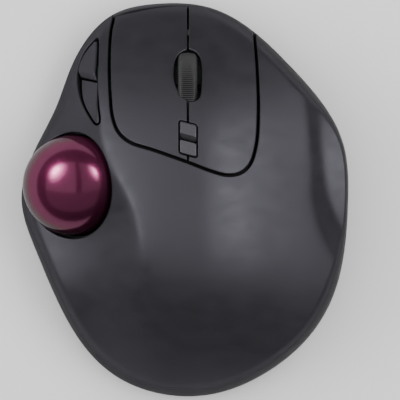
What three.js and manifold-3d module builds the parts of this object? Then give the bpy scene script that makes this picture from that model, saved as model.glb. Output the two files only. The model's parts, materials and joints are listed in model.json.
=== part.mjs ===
// Thumb-operated wireless trackball mouse.
// Millimetres. +X is the right side, +Y the front where the wheel is, +Z up; it stands on z = 0.
import * as THREE from 'three';
import { mergeVertices } from 'three/addons/utils/BufferGeometryUtils.js';
import Module from 'manifold-3d';

const wasm = await Module();
wasm.setup();

// ---------------------------------------------------------------- driving dimensions

// Control points of the closed cubic B-spline that is the widest outline, seen from above.
const OUTLINE = [
  [56, -1], [56, 18], [48, 33], [36, 46], [23, 59], [8, 67.5], [-11, 67.5], [-27, 64.5], [-39, 48],
  [-43, 32], [-52, 17], [-58, 0], [-51, -17], [-45, -32], [-37, -48], [-25, -61], [-8, -67.5],
  [10, -67.5], [26, -61], [41, -50], [51, -35], [55, -18],
];
const SEAM_Z = 10; // the split between the top and base shells, at y = 0
const SEAM_TILT = 0.05; // it rises this much for each millimetre forward
const SEAM_GAP = 0.4;
const WALL = 2;
const OVERHEAD = 60; // higher than anything in the mouse
const FAR = 90; // beyond the mouse in plan

// The palm dome.
const TOP_Z = 48;
const PEAK_X = 2;
const PEAK_Y = -4;
const DOME_FALL = 0.0076;
const DOME_SKEW = -1.53e-5;
const SIDE_SLOPE = 0.53;
const CROWN = 20;
const SPREAD_LENGTH = 78;

// The thumb scoop, left of a ridge that bends round the ball.
const RIDGE_X = -22.2;
const RIDGE_SWING = 7.6;
const RIDGE_Y = 6.5;
const RIDGE_LENGTH = 13.5;

// The little-finger flange, right of a crease.
const CREASE_X = 43.4;
const FLANK_SLOPE = 0.95;
const FLANGE_Z = 29.3;
const FLANGE_SLOPE = 0.25;

// The rim, where the top rounds over to the widest outline, and the base below it.
const RIM_REACH = 5;
const FLANGE_RIM_REACH = 1.6;
const BOTTOM_Z = 1;
const FLOOR = 2;
const TUCK = 6.5;

// Trackball, cup and sensor.
const BALL = new THREE.Vector3(-38.1, 5, 26);
const BALL_RADIUS = 17;
const SOCKET_RADIUS = 18;
const CUP_INNER = 17.7;
const CUP_OUTER = 19.3;
const OPENING_TILT = 0.65; // radians from upright to the opening's axis
const EJECT_RADIUS = 6;

// Click plates, wheel and resolution buttons.
const PLATE_GAP = 1;
const CENTRE_X = 1.1;
const CENTRE_GAP = 0.6;
const WHEEL = new THREE.Vector3(1, 38.1, 26.2);
const WHEEL_RADIUS = 12;
const WHEEL_WIDTH = 6.6;
const WHEEL_SLOT = [
  [1.3, 51.3], [-1.6, 50], [-3, 47.9], [-3.6, 44.6], [-3.5, 40.9], [-2.7, 38.2], [-1.2, 35.8],
  [0.5, 34.1], [2.3, 33.5], [4.2, 34], [5.3, 35.4], [5.6, 38], [5.6, 46.4], [5.1, 48.6], [3.6, 50.5],
];
const RESOLUTION_X = 1.2;
const RESOLUTION_Y = 20.7;
const RESOLUTION_SLOT = [6.5, 11.5];
const RESOLUTION_SHEAR = -0.26; // the slot and its buttons lean back this much for each millimetre right

// Side buttons.
const SIDE_NORMAL_ANGLE = THREE.MathUtils.degToRad(-50);
const SIDE_GAP = 0.7;
const SIDE_SPLIT = [[-36.4, 41.8], [-30, 40.4]]; // the line between the two buttons

// Circuit boards and cell.
const BOARD_Z = 9;
const BOARD_THICKNESS = 1.6;
const BOARD_TOP = BOARD_Z + BOARD_THICKNESS;
const CELL = new THREE.Vector3(6.2, -34, 11.3);
const CELL_RADIUS = 7.1;
const CELL_LENGTH = 49;

// Finishes: colour, roughness, metalness.
const SHELL_BLACK = [0x2e2d32, 0.42, 0];
const BUTTON_BLACK = [0x323136, 0.4, 0];
const RUBBER = [0x1f1f22, 0.8, 0];
const GREY_GLOSS = [0x55545a, 0.3, 0];
const MAROON = [0x5a1426, 0.18, 0.35];
const NATURAL_WHITE = [0xd9d6cc, 0.5, 0];
const BOARD_GREEN = [0x1f5a3a, 0.6, 0];
const CHIP_BLACK = [0x18181a, 0.55, 0];
const STEEL = [0xb9bcc0, 0.3, 1];
const CUP_BLACK = [0x151517, 0.55, 0];
const CERAMIC = [0xf0eeea, 0.15, 0];
const CLEAR = [0xcfd8dc, 0.08, 0];
const CELL_SLEEVE = [0x3a6ea5, 0.35, 0.1];
const SLIDER_RED = [0x9b2d2a, 0.5, 0];
const FOOT_GREY = [0x4b4b4f, 0.7, 0];
const LABEL_GREY = [0x8e8f93, 0.6, 0];

// ---------------------------------------------------------------- solids

/** A three.js geometry as a manifold solid. */
function solid(geometry) {
  geometry.deleteAttribute('normal');
  geometry.deleteAttribute('uv');
  const merged = mergeVertices(geometry, 1e-4);
  const index = merged.index.array;
  const kept = [];
  for (let i = 0; i < index.length; i += 3) {
    const [a, b, c] = [index[i], index[i + 1], index[i + 2]];
    if (a !== b && b !== c && c !== a) kept.push(a, b, c);
  }
  return new wasm.Manifold(new wasm.Mesh({
    numProp: 3,
    vertProperties: merged.attributes.position.array,
    triVerts: Uint32Array.from(kept),
  }));
}

/** A block given by its lowest and highest corners. */
function block(low, high) {
  const size = high.map((value, axis) => value - low[axis]);
  const geometry = new THREE.BoxGeometry(...size);
  geometry.translate(...low.map((value, axis) => value + size[axis] / 2));
  return solid(geometry);
}

/** A round bar from z0 to z1. */
function bar(radius, x, y, z0, z1, sides = 16) {
  const geometry = new THREE.CylinderGeometry(radius, radius, z1 - z0, sides);
  geometry.rotateX(Math.PI / 2);
  geometry.translate(x, y, (z0 + z1) / 2);
  return solid(geometry);
}

/** A round bar along X. */
function crossBar(radius, x0, x1, y, z, sides = 16) {
  const geometry = new THREE.CylinderGeometry(radius, radius, x1 - x0, sides);
  geometry.rotateZ(Math.PI / 2);
  geometry.translate((x0 + x1) / 2, y, z);
  return solid(geometry);
}

function ball(radius, centre, across = 24, down = 16) {
  const geometry = new THREE.SphereGeometry(radius, across, down);
  geometry.rotateX(Math.PI / 2);
  geometry.translate(centre.x, centre.y, centre.z);
  return solid(geometry);
}

/** An upright prism over a plan outline. */
function prism(points, z0, z1) {
  const shape = new THREE.Shape(points.map(([x, y]) => new THREE.Vector2(x, y)));
  const geometry = new THREE.ExtrudeGeometry(shape, { depth: z1 - z0, bevelEnabled: false });
  geometry.translate(0, 0, z0);
  return solid(geometry);
}

/** A solid of revolution about Z from [radius, z] pairs that start and end on the axis. */
function turned(profile, sides) {
  const geometry = new THREE.LatheGeometry(profile.map(([r, z]) => new THREE.Vector2(r, z)), sides);
  geometry.rotateX(Math.PI / 2);
  return solid(geometry);
}

/** A closed skin over rings of points, each ring with a point at its middle as a cap. */
function loft(rings, firstMiddle, lastMiddle) {
  const count = rings[0].length;
  const points = [firstMiddle, ...rings.flat(), lastMiddle];
  const last = points.length - 1;
  const at = (ring, i) => 1 + ring * count + (i % count);
  const faces = [];
  for (let i = 0; i < count; i += 1) {
    faces.push(0, at(0, i + 1), at(0, i));
    faces.push(last, at(rings.length - 1, i), at(rings.length - 1, i + 1));
    for (let ring = 0; ring < rings.length - 1; ring += 1) {
      faces.push(at(ring, i), at(ring, i + 1), at(ring + 1, i + 1));
      faces.push(at(ring, i), at(ring + 1, i + 1), at(ring + 1, i));
    }
  }
  const geometry = new THREE.BufferGeometry();
  geometry.setAttribute('position', new THREE.Float32BufferAttribute(points.flat(), 3));
  geometry.setIndex(faces);
  return solid(geometry);
}

/** Plan points of a slot with rounded corners. */
function slotPoints(x, y, width, length, corner, steps = 4) {
  const points = [];
  for (let quarter = 0; quarter < 4; quarter += 1) {
    const cx = x + (quarter === 0 || quarter === 3 ? 1 : -1) * (width / 2 - corner);
    const cy = y + (quarter < 2 ? 1 : -1) * (length / 2 - corner);
    for (let step = 0; step <= steps; step += 1) {
      const turn = (quarter + step / steps) * Math.PI / 2;
      points.push([cx + corner * Math.cos(turn), cy + corner * Math.sin(turn)]);
    }
  }
  return points;
}

/** Moves a counter-clockwise plan outline outwards by a distance. */
function grown(points, distance) {
  const count = points.length;
  return points.map((point, i) => {
    const before = points[(i + count - 1) % count];
    const after = points[(i + 1) % count];
    const into = new THREE.Vector2(point[0] - before[0], point[1] - before[1]).normalize();
    const outOf = new THREE.Vector2(after[0] - point[0], after[1] - point[1]).normalize();
    const bisector = new THREE.Vector2(into.y + outOf.y, -into.x - outOf.x).normalize();
    const stretch = distance / Math.max(0.5, bisector.dot(new THREE.Vector2(into.y, -into.x)));
    return [point[0] + bisector.x * stretch, point[1] + bisector.y * stretch];
  });
}

/** A closed smooth curve through plan points. */
function smoothLoop(points, count) {
  const curve = new THREE.CatmullRomCurve3(points.map(([x, y]) => new THREE.Vector3(x, y, 0)), true);
  return curve.getPoints(count).slice(0, -1).map((p) => [p.x, p.y]);
}

// ---------------------------------------------------------------- the outer form

/** A point of the outline's B-spline, for u from 0 to the number of control points. */
function outlinePoint(u) {
  const first = Math.floor(u);
  const f = u - first;
  const weights = [
    (1 - f) ** 3 / 6,
    (3 * f ** 3 - 6 * f ** 2 + 4) / 6,
    (-3 * f ** 3 + 3 * f ** 2 + 3 * f + 1) / 6,
    f ** 3 / 6,
  ];
  const point = [0, 0];
  weights.forEach((weight, k) => {
    const [x, y] = OUTLINE[(first + k + OUTLINE.length - 1) % OUTLINE.length];
    point[0] += weight * x;
    point[1] += weight * y;
  });
  return point;
}

const OUTLINE_SAMPLES = 1200;
const outlinePolar = Array.from({ length: OUTLINE_SAMPLES }, (_, i) => {
  const [x, y] = outlinePoint(i * OUTLINE.length / OUTLINE_SAMPLES);
  return [Math.atan2(y, x), Math.hypot(x, y)];
}).sort((a, b) => a[0] - b[0]);

/** The outline's distance from the middle in a direction. */
function outlineRadius(angle) {
  const turn = 2 * Math.PI;
  const wanted = ((angle + Math.PI) % turn + turn) % turn - Math.PI;
  let next = outlinePolar.findIndex(([a]) => a > wanted);
  if (next < 0) next = 0;
  const [a0, r0] = outlinePolar[(next + OUTLINE_SAMPLES - 1) % OUTLINE_SAMPLES];
  const [a1, r1] = outlinePolar[next];
  const span = (a1 - a0 + turn) % turn;
  const part = ((wanted - a0 + turn) % turn) / span;
  return r0 + (r1 - r0) * part;
}

const smoothMin = (a, b, k) => (a + b) / 2 - Math.hypot((a - b) / 2, k);
const smoothMax = (a, b, k) => (a + b) / 2 + Math.hypot((a - b) / 2, k);
const ramp = (from, to, value) => THREE.MathUtils.smoothstep(value, from, to);
const seamHeight = (y) => SEAM_Z + SEAM_TILT * y;

function dome(x, y) {
  const along = y - PEAK_Y;
  const fall = DOME_FALL * along ** 2 + DOME_SKEW * along ** 3;
  const spread = Math.exp(-((along / SPREAD_LENGTH) ** 2));
  return TOP_Z - fall - SIDE_SLOPE * spread * (Math.hypot(x - PEAK_X, CROWN) - CROWN);
}

/** The top surface before its rim is rounded. */
function roof(x, y) {
  const ridge = RIDGE_X - RIDGE_SWING * Math.tanh((y - RIDGE_Y) / RIDGE_LENGTH);
  const reach = ridge - x;
  const steepness = 0.78 + 0.12 * ramp(-40, -5, y) + 0.32 * ramp(16, 38, y);
  const hollow = 0.0045 * (1 - ramp(14, 34, y));
  const scoop = dome(ridge, y) - steepness * reach + hollow * Math.max(0, reach) ** 2;
  const softness = 0.5 + 2.4 * (1 - ramp(-55, -8, y));
  const left = smoothMin(dome(x, y), scoop, softness);

  const crease = CREASE_X + 0.0118 * Math.max(0, 6 - y) ** 2 - 0.0024 * Math.max(0, y - 6) ** 2;
  const steep = Math.exp(-(((y - 9) / 45) ** 4));
  const flank = dome(crease, y) - (0.5 + (FLANK_SLOPE - 0.5) * steep) * (x - crease);
  const flange = FLANGE_Z - FLANGE_SLOPE * (x - 50) - 0.0088 * (y - 7) ** 2
    - 0.05 * Math.max(0, 44 - x) ** 2;
  return smoothMax(smoothMin(left, flank, 0.35), flange, 0.8);
}

/** The roof, moved in by a wall thickness measured square to it. */
function roofInside(x, y, inset) {
  const step = 0.2;
  const slopeX = (roof(x + step, y) - roof(x - step, y)) / (2 * step);
  const slopeY = (roof(x, y + step) - roof(x, y - step)) / (2 * step);
  return roof(x, y) - inset * Math.sqrt(1 + slopeX ** 2 + slopeY ** 2);
}

/** How far in from the outline the rim starts to round, in a direction. */
function rimReach(angle) {
  const wrapped = angle > Math.PI ? angle - 2 * Math.PI : angle;
  const offFlange = (wrapped - 0.12) / 0.52;
  return RIM_REACH - (RIM_REACH - FLANGE_RIM_REACH) * Math.exp(-(offFlange ** 4));
}

/** The height of the top surface, inset by a thickness, at a plan point. */
function topHeight(x, y, inset = 0) {
  const angle = Math.atan2(y, x);
  const depth = outlineRadius(angle) - inset - Math.hypot(x, y);
  const inward = THREE.MathUtils.clamp(depth / rimReach(angle), 0, 1);
  const rim = seamHeight(y);
  return rim + (roofInside(x, y, inset) - rim) * Math.sqrt(1 - (1 - inward) ** 3);
}

const AROUND = 64;
const RIM_STEPS = [0, 0.03, 0.13, 0.35, 0.65, 1];
const ROOF_STEPS = [0.94, 0.87, 0.78, 0.66, 0.52, 0.36, 0.18];
const BASE_STEPS = [1, 0.7, 0.4, 0.15];

/** The whole outer form as one solid, inset by a wall and a floor thickness. */
function form(inset = 0, floor = inset) {
  const angles = Array.from({ length: AROUND }, (_, i) => i * 2 * Math.PI / AROUND);
  const ringAt = (distance, height) => angles.map((angle) => {
    const r = distance(angle);
    const [x, y] = [r * Math.cos(angle), r * Math.sin(angle)];
    return [x, y, height(x, y)];
  });
  const edge = (angle) => outlineRadius(angle) - inset;
  const low = BOTTOM_Z + floor;
  const rings = [];
  BASE_STEPS.forEach((down) => rings.push(ringAt(
    (angle) => edge(angle) - TUCK * down ** 1.8,
    (x, y) => seamHeight(y) + (low - seamHeight(y)) * down,
  )));
  RIM_STEPS.forEach((inward) => rings.push(ringAt(
    (angle) => edge(angle) - inward * rimReach(angle),
    (x, y) => seamHeight(y)
      + (roofInside(x, y, inset) - seamHeight(y)) * Math.sqrt(1 - (1 - inward) ** 3),
  )));
  ROOF_STEPS.forEach((part) => rings.push(ringAt(
    (angle) => part * (edge(angle) - rimReach(angle)),
    (x, y) => roofInside(x, y, inset),
  )));
  return loft(rings, [0, 0, low], [0, 0, roofInside(0, 0, inset)]);
}

/** Everything above the seam plane, lifted by a distance. */
function aboveSeam(lift) {
  const geometry = new THREE.BoxGeometry(200, 200, 100);
  geometry.translate(0, 0, 50);
  geometry.rotateX(Math.atan(SEAM_TILT));
  geometry.translate(0, 0, SEAM_Z + lift);
  return solid(geometry);
}

const OUTSIDE = form();
const INSIDE = form(WALL, FLOOR);
const SKIN = OUTSIDE.subtract(INSIDE);

// ---------------------------------------------------------------- plan outlines of the openings

// The seam behind and beside the two click plates; it runs off the front edge at both ends.
const PLATE_SEAM = [
  [24.2, 80], [24.4, 57], [25.2, 44], [25.6, 30], [24.8, 18.5], [22.6, 11.8], [19.2, 8.7],
  [14.6, 7.9], [9.2, 9.2], [0.8, 12.4], [-10.5, 16.4], [-18.8, 19.2], [-22.8, 22.6], [-25, 28],
  [-26, 38], [-26.2, 48], [-25.8, 57], [-24.6, 64], [-24, 80],
];
const SIDE_BUTTONS = [
  [-29.8, 55.4], [-32.6, 53], [-35.2, 49], [-36.8, 42.5], [-36, 35.6], [-33.2, 29.2], [-30.2, 25.3],
  [-28.8, 26], [-29.2, 33], [-29.7, 40.8], [-29.4, 48],
];
const SIDE_START_Z = 12;
const sideButtonPoints = smoothLoop(SIDE_BUTTONS, 28);

/** The plates' area as a plan outline, inset by a distance. */
function platePoints(inset) {
  const curve = new THREE.CatmullRomCurve3(
    PLATE_SEAM.map(([x, y]) => new THREE.Vector3(x, y, 0)).reverse(),
  );
  const points = curve.getPoints(44).map((p) => [p.x, p.y]);
  return grown(points, -inset);
}

/** A leaning slot outline about the resolution buttons' middle line. */
function leaningSlot(y, width, length, corner) {
  return slotPoints(RESOLUTION_X, y, width, length, corner, 3)
    .map(([px, py]) => [px, py + (px - RESOLUTION_X) * RESOLUTION_SHEAR]);
}

/** The opening round both resolution buttons, widened by a clearance. */
function resolutionSlot(clearance) {
  const [width, length] = RESOLUTION_SLOT.map((value) => value + clearance);
  return prism(leaningSlot(RESOLUTION_Y, width, length, 1), 0, OVERHEAD);
}

// ---------------------------------------------------------------- scene graph helpers

const mouse = new THREE.Group();

/** Adds a solid as a named mesh. */
function add(name, shape, [color, roughness, metalness], parent = mouse) {
  const { vertProperties, triVerts } = shape.getMesh();
  const geometry = new THREE.BufferGeometry();
  geometry.setAttribute('position', new THREE.BufferAttribute(vertProperties, 3));
  geometry.setIndex(new THREE.BufferAttribute(triVerts, 1));
  geometry.computeVertexNormals();
  const mesh = new THREE.Mesh(
    geometry, new THREE.MeshStandardMaterial({ color, roughness, metalness }),
  );
  mesh.name = name;
  parent.add(mesh);
  return mesh;
}

// ---------------------------------------------------------------- casings

const SCREWS = [[-35.8, 28.2], [30.5, 34], [40, -29], [-30, -36]];
const POST_RADIUS = 3;
const POST_JOINT_Z = 8;
const POST_JOINT_GAP = 0.3;
const SCREW_BITE = 7;
const SCREW_HOLE = 1.35;
const SCREW_RECESS = [2.6, 3.4]; // radius and depth
const INTO_WALL = 0.6; // how far under the outer surface a post ends


/** The cell's bay in the base: lowest and highest corners inside its walls. */
const BAY_LOW = [CELL.x - 27.2, CELL.y - 8, BOTTOM_Z - 1];
const BAY_HIGH = [CELL.x + 27.2, CELL.y + 8, 19];
const BAY_WALL = 1.2;

const RECEIVER = new THREE.Vector3(31, -12, BOTTOM_Z);
const RECEIVER_SIZE = [12.4, 4.8, 7];
const PLUG_SIZE = [12, 4.5, 12];
const RECEIVER_WALL = [1.6, 1.6, 1.2];
const RECEIVER_GAP = 0.4;
const NOTCH = [3, 6.4, 2.2]; // finger notch across the receiver: half width, half length, depth
const POWER = new THREE.Vector3(36, 12, BOTTOM_Z);
const POWER_SLOT = [2.6, 5.4, 5]; // half width, half length and depth

/** A block about a plan point, from a half width, a half length and two heights. */
const blockAbout = ({ x, y }, halfWidth, halfLength, z0, z1) => block(
  [x - halfWidth, y - halfLength, z0], [x + halfWidth, y + halfLength, z1],
);

function topShell() {
  let shell = SKIN.intersect(aboveSeam(SEAM_GAP / 2));
  for (const [x, y] of SCREWS) {
    const post = bar(POST_RADIUS, x, y, POST_JOINT_Z + POST_JOINT_GAP, OVERHEAD, 12);
    shell = shell.add(post.intersect(form(INTO_WALL, 0)));
  }
  shell = shell.subtract(prism(platePoints(0), 0, OVERHEAD));
  shell = shell.subtract(prism(sideButtonPoints, SIDE_START_Z, OVERHEAD));
  shell = shell.subtract(ball(SOCKET_RADIUS, BALL, 40, 24));
  for (const [x, y] of SCREWS) {
    shell = shell.subtract(bar(SCREW_HOLE, x, y, 0, POST_JOINT_Z + SCREW_BITE, 12));
  }
  return shell;
}

function baseShell() {
  let base = SKIN.subtract(aboveSeam(-SEAM_GAP / 2));
  const bayOuterLow = BAY_LOW.map((value, axis) => (axis < 2 ? value - BAY_WALL : BOTTOM_Z));
  base = base.add(block(bayOuterLow, BAY_HIGH.map((value) => value + BAY_WALL)));

  const halfCap = RECEIVER_SIZE[0] / 2 + RECEIVER_GAP;
  const halfDepth = RECEIVER_SIZE[1] / 2 + RECEIVER_GAP;
  const pocketTop = BOTTOM_Z + RECEIVER_SIZE[2] + PLUG_SIZE[2] + RECEIVER_GAP;
  const [sideWall, endWall, roofWall] = RECEIVER_WALL;
  base = base.add(blockAbout(
    RECEIVER, halfCap + sideWall, halfDepth + endWall, BOTTOM_Z + 1, pocketTop + roofWall,
  ));
  for (const [x, y] of SCREWS) {
    base = base.add(bar(POST_RADIUS + 1, x, y, BOTTOM_Z, POST_JOINT_Z, 12).intersect(OUTSIDE));
  }
  for (const [x, y] of BOARD_POSTS) {
    base = base.add(bar(2, x, y, BOTTOM_Z + 1, BOARD_Z, 12));
  }

  base = base.subtract(block(BAY_LOW, BAY_HIGH));
  base = base.subtract(blockAbout(RECEIVER, halfCap, halfDepth, 0, pocketTop));
  base = base.subtract(blockAbout(RECEIVER, NOTCH[0], NOTCH[1], 0, NOTCH[2]));
  const [slotHalfWidth, slotHalfLength, slotDepth] = POWER_SLOT;
  base = base.subtract(blockAbout(POWER, slotHalfWidth, slotHalfLength, 0, slotDepth));
  base = base.subtract(bar(EJECT_RADIUS, BALL.x, BALL.y, 0, BOTTOM_Z + 2 * FLOOR, 24));
  for (const [x, y] of SCREWS) {
    base = base.subtract(bar(SCREW_HOLE, x, y, 0, 20, 12));
    base = base.subtract(bar(SCREW_RECESS[0], x, y, 0, SCREW_RECESS[1], 12));
  }
  return base;
}

// ---------------------------------------------------------------- wheel dimensions

const AXLE_RADIUS = 1.2;
const ARM_X = [-7.2, 8.8];
const CARRIER_PIVOT = [24.5, 20]; // y and z
const PIVOT_RADIUS = 1;
const CARRIER_LATCH = { y: [56, 58], z: [15.4, 17] }; // the front bar over the middle switch
const HUB_RADIUS = 9.6;
const DISH_RADIUS = 8;
const DISH_DEPTH = 1.6;
const TYRE_BORE = 9.7;
const RIB_COUNT = 48;
const RIB_DEPTH = 0.35;
const RIB_BAND = 3.4;
const SHOULDER_RADIUS = 11.5;
const SHOULDER_WIDTH = 1.2;

/** A round bar about the wheel's axis, from one x to another, both measured from the wheel. */
const aboutWheel = (radius, from, to, sides) => crossBar(
  radius, WHEEL.x + from, WHEEL.x + to, WHEEL.y, WHEEL.z, sides,
);

// ---------------------------------------------------------------- click plates and deck

const PLATE_LIFT = 2; // above the seam plane
const WHEEL_CLEARANCE = 0.9;
const DECK_DEPTH = 3.6;
const DECK_THICKNESS = 1.4;
const DECK_LIFT = 4; // above the seam plane
const DECK_OVERLAP = 0.8; // past the plates' seam
const DECK_CLEARANCE = 0.8;
const DECK_LEFT = -24.6;
const DECK_FRONT = 57;
const DECK_LEGS = [[-20.4, 28], [19, 29]];
const CLICK_Y = 50;
const CLICK_X = [-17, 16.5];
const PLUNGER_TOP = 17.9;
const POST_START = 18.2;

/** The space the wheel needs under the plates: the tyre's outline with its shoulders, grown. */
function wheelRelief() {
  const steps = [[WHEEL_RADIUS, 2.6], [SHOULDER_RADIUS, WHEEL_WIDTH / 2], [SHOULDER_RADIUS - 1, 3.9]];
  return steps
    .map(([radius, half]) => aboutWheel(radius + WHEEL_CLEARANCE, -half, half, 40))
    .reduce((whole, part) => whole.add(part));
}

/** One of the two click plates: side is -1 for the left one and 1 for the right one. */
function clickPlate(side) {
  const inner = CENTRE_X + side * CENTRE_GAP / 2;
  const [from, to] = side < 0 ? [-FAR, inner] : [inner, FAR];
  const area = prism(platePoints(PLATE_GAP), 0, OVERHEAD)
    .intersect(block([from, 0, 0], [to, FAR, OVERHEAD]));
  let plate = SKIN.intersect(area).intersect(aboveSeam(PLATE_LIFT));

  const post = { x: CLICK_X[side < 0 ? 0 : 1], y: CLICK_Y };
  plate = plate.add(blockAbout(post, 1.5, 1.2, POST_START, OVERHEAD).intersect(form(INTO_WALL, 0)));

  const slot = prism(smoothLoop(WHEEL_SLOT, 36), 0, OVERHEAD);
  return plate.subtract(slot).subtract(wheelRelief()).subtract(resolutionSlot(0));
}

/** The inner deck the plates hang on, open round the wheel and the click posts. */
function buttonDeck() {
  const area = prism(platePoints(-DECK_OVERLAP), 0, OVERHEAD)
    .intersect(block([DECK_LEFT, -FAR, 0], [FAR, DECK_FRONT, OVERHEAD]));
  let deck = form(DECK_DEPTH, 0).subtract(form(DECK_DEPTH + DECK_THICKNESS, 0)).intersect(area);
  deck = deck.intersect(aboveSeam(DECK_LIFT));

  const underside = form(DECK_DEPTH + 0.4, 0);
  for (const [x, y] of DECK_LEGS) {
    deck = deck.add(bar(1.8, x, y, BOARD_TOP, OVERHEAD, 12).intersect(underside));
  }
  for (const [x, y] of RESOLUTION_POSTS) {
    deck = deck.add(bar(1.5, x, y, RESOLUTION_BOARD_TOP, OVERHEAD, 12).intersect(underside));
  }

  deck = deck.subtract(block([WHEEL.x - 14.5, 27.4, 0], [WHEEL.x + 11, FAR, OVERHEAD]));
  deck = deck.subtract(resolutionSlot(DECK_CLEARANCE));
  for (const x of CLICK_X) {
    deck = deck.subtract(block([x - 3, CLICK_Y - 3, 0], [x + 3, CLICK_Y + 8, OVERHEAD]));
  }
  return deck;
}

// ---------------------------------------------------------------- wheel

function wheelHub() {
  const half = WHEEL_WIDTH / 2;
  const axle = crossBar(AXLE_RADIUS, ARM_X[0] - 4.6, ARM_X[1] + 1.4, WHEEL.y, WHEEL.z, 12);
  return aboutWheel(HUB_RADIUS, -half, half, 32)
    .subtract(aboutWheel(DISH_RADIUS, half - DISH_DEPTH, FAR, 24))
    .subtract(aboutWheel(DISH_RADIUS, -FAR, DISH_DEPTH - half, 24))
    .add(axle);
}

/** A ribbed tyre: its outline is a shallow gear, with smooth shoulders. */
function wheelTyre() {
  const half = WHEEL_WIDTH / 2;
  const points = [];
  for (let i = 0; i < RIB_COUNT * 2; i += 1) {
    const angle = i * Math.PI / RIB_COUNT;
    const r = WHEEL_RADIUS - (i % 2 ? RIB_DEPTH : 0);
    points.push(new THREE.Vector2(r * Math.cos(angle), r * Math.sin(angle)));
  }
  const gear = new THREE.Shape(points);
  const band = new THREE.ExtrudeGeometry(gear, { depth: RIB_BAND, bevelEnabled: false });
  band.translate(0, 0, -RIB_BAND / 2);
  band.rotateY(Math.PI / 2);
  band.translate(WHEEL.x, WHEEL.y, WHEEL.z);
  const shoulders = turned([
    [0, -half], [SHOULDER_RADIUS - 1, -half], [SHOULDER_RADIUS, SHOULDER_WIDTH - half],
    [SHOULDER_RADIUS, half - SHOULDER_WIDTH], [SHOULDER_RADIUS - 1, half], [0, half],
  ], 48).rotate([0, 90, 0]).translate([WHEEL.x, WHEEL.y, WHEEL.z]);
  return shoulders.add(solid(band)).subtract(aboutWheel(TYRE_BORE, -FAR, FAR, 32));
}

/** Two arms from the pivot past the wheel's axle to the latch over the middle switch. */
function wheelCarrier() {
  const [pivotY, pivotZ] = CARRIER_PIVOT;
  const { y: [latchBack, latchFront], z: [latchLow, latchHigh] } = CARRIER_LATCH;
  const armOutline = [
    [pivotY - 2.4, pivotZ - 2.2], [latchBack, latchLow], [latchFront, latchLow],
    [latchFront, latchHigh], [50, latchHigh + 2.4],
    [WHEEL.y + 3.4, WHEEL.z + 3], [WHEEL.y - 3.4, WHEEL.z + 3], [pivotY + 2, pivotZ + 2.4],
    [pivotY - 2.4, pivotZ + 2.2],
  ];
  let carrier = null;
  for (const x of ARM_X) {
    const shape = new THREE.Shape(armOutline.map(([y, z]) => new THREE.Vector2(y, z)));
    const arm = new THREE.ExtrudeGeometry(shape, { depth: 1.6, bevelEnabled: false });
    arm.applyMatrix4(new THREE.Matrix4().makeBasis(
      new THREE.Vector3(0, 1, 0), new THREE.Vector3(0, 0, 1), new THREE.Vector3(1, 0, 0),
    ));
    arm.translate(x - 0.8, 0, 0);
    carrier = carrier ? carrier.add(solid(arm)) : solid(arm);
  }
  const [left, right] = ARM_X;
  carrier = carrier.add(block([left, latchBack, latchLow], [right, latchFront, latchHigh]));
  carrier = carrier.add(block([left, pivotY - 2.4, pivotZ - 2], [right, pivotY + 1.6, pivotZ + 2]));
  carrier = carrier.subtract(aboutWheel(AXLE_RADIUS + 0.25, -FAR, FAR, 12));
  return carrier.subtract(crossBar(PIVOT_RADIUS + 0.25, -FAR, FAR, pivotY, pivotZ, 12));
}

/** Two uprights on the main board that hold the carrier's pivot pin. */
function carrierBracket() {
  const [pivotY, pivotZ] = CARRIER_PIVOT;
  const [left, right] = [ARM_X[0] - 2.4, ARM_X[1] + 2.4];
  let bracket = block([left - 1, pivotY - 3.4, BOARD_TOP], [right + 1, pivotY + 1.4, BOARD_TOP + 1.4]);
  for (const x of [left, right]) {
    bracket = bracket.add(block([x - 1, pivotY - 2.2, BOARD_TOP], [x + 1, pivotY + 2.2, pivotZ + 2.4]));
  }
  return bracket.add(crossBar(PIVOT_RADIUS, left + 0.4, right - 0.4, pivotY, pivotZ, 12));
}

// ---------------------------------------------------------------- resolution buttons

const RESOLUTION_BOARD_Z = 33;
const RESOLUTION_BOARD_TOP = 34.2;
const RESOLUTION_POSTS = [[-5.4, 24.4], [7.6, 12]];
const RESOLUTION_STEM_Z = 38.5; // where a button's stem starts, just over its switch
const RESOLUTION_PROUD = 0.2;
const RESOLUTION_DEPTH = 3;
const VALLEY_RADIUS = 7.2;
const VALLEY_DEPTH = 0.8;

/** One of the two small buttons behind the wheel; side is 1 for the front one. */
function resolutionButton(side) {
  const [width, length] = [RESOLUTION_SLOT[0] - 0.8, RESOLUTION_SLOT[1] / 2 - 0.7];
  const y = RESOLUTION_Y + side * (length / 2 + 0.3);
  const cap = form(-RESOLUTION_PROUD, 0).subtract(form(RESOLUTION_DEPTH, 0))
    .intersect(prism(leaningSlot(y, width, length, 0.8), BOARD_TOP, OVERHEAD));
  const stem = bar(1.4, CENTRE_X, y, RESOLUTION_STEM_Z, topHeight(CENTRE_X, y, 1), 12);
  const valleyZ = topHeight(CENTRE_X, RESOLUTION_Y) + VALLEY_RADIUS - VALLEY_DEPTH;
  const valley = crossBar(VALLEY_RADIUS, -FAR, FAR, RESOLUTION_Y, valleyZ, 40);
  return cap.add(stem).subtract(valley);
}

// ---------------------------------------------------------------- side buttons

const SIDE_SPLIT_GAP = 0.5;
const SIDE_STEM_LENGTH = 15.4;
const SIDE_BOARD = new THREE.Vector3(-28.4, 42, 14.2);
// Each switch's place on the side board: up the slope, and forward.
const SIDE_SWITCHES = { forward: [1, 48], back: [7, 34.5] };
const SIDE_ACTUATOR = 4.6; // from the side board's face to where a stem starts
const SIDE_LIFT = 1.4; // above the seam plane
const FORWARD_PROUD = 0.5;

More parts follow.
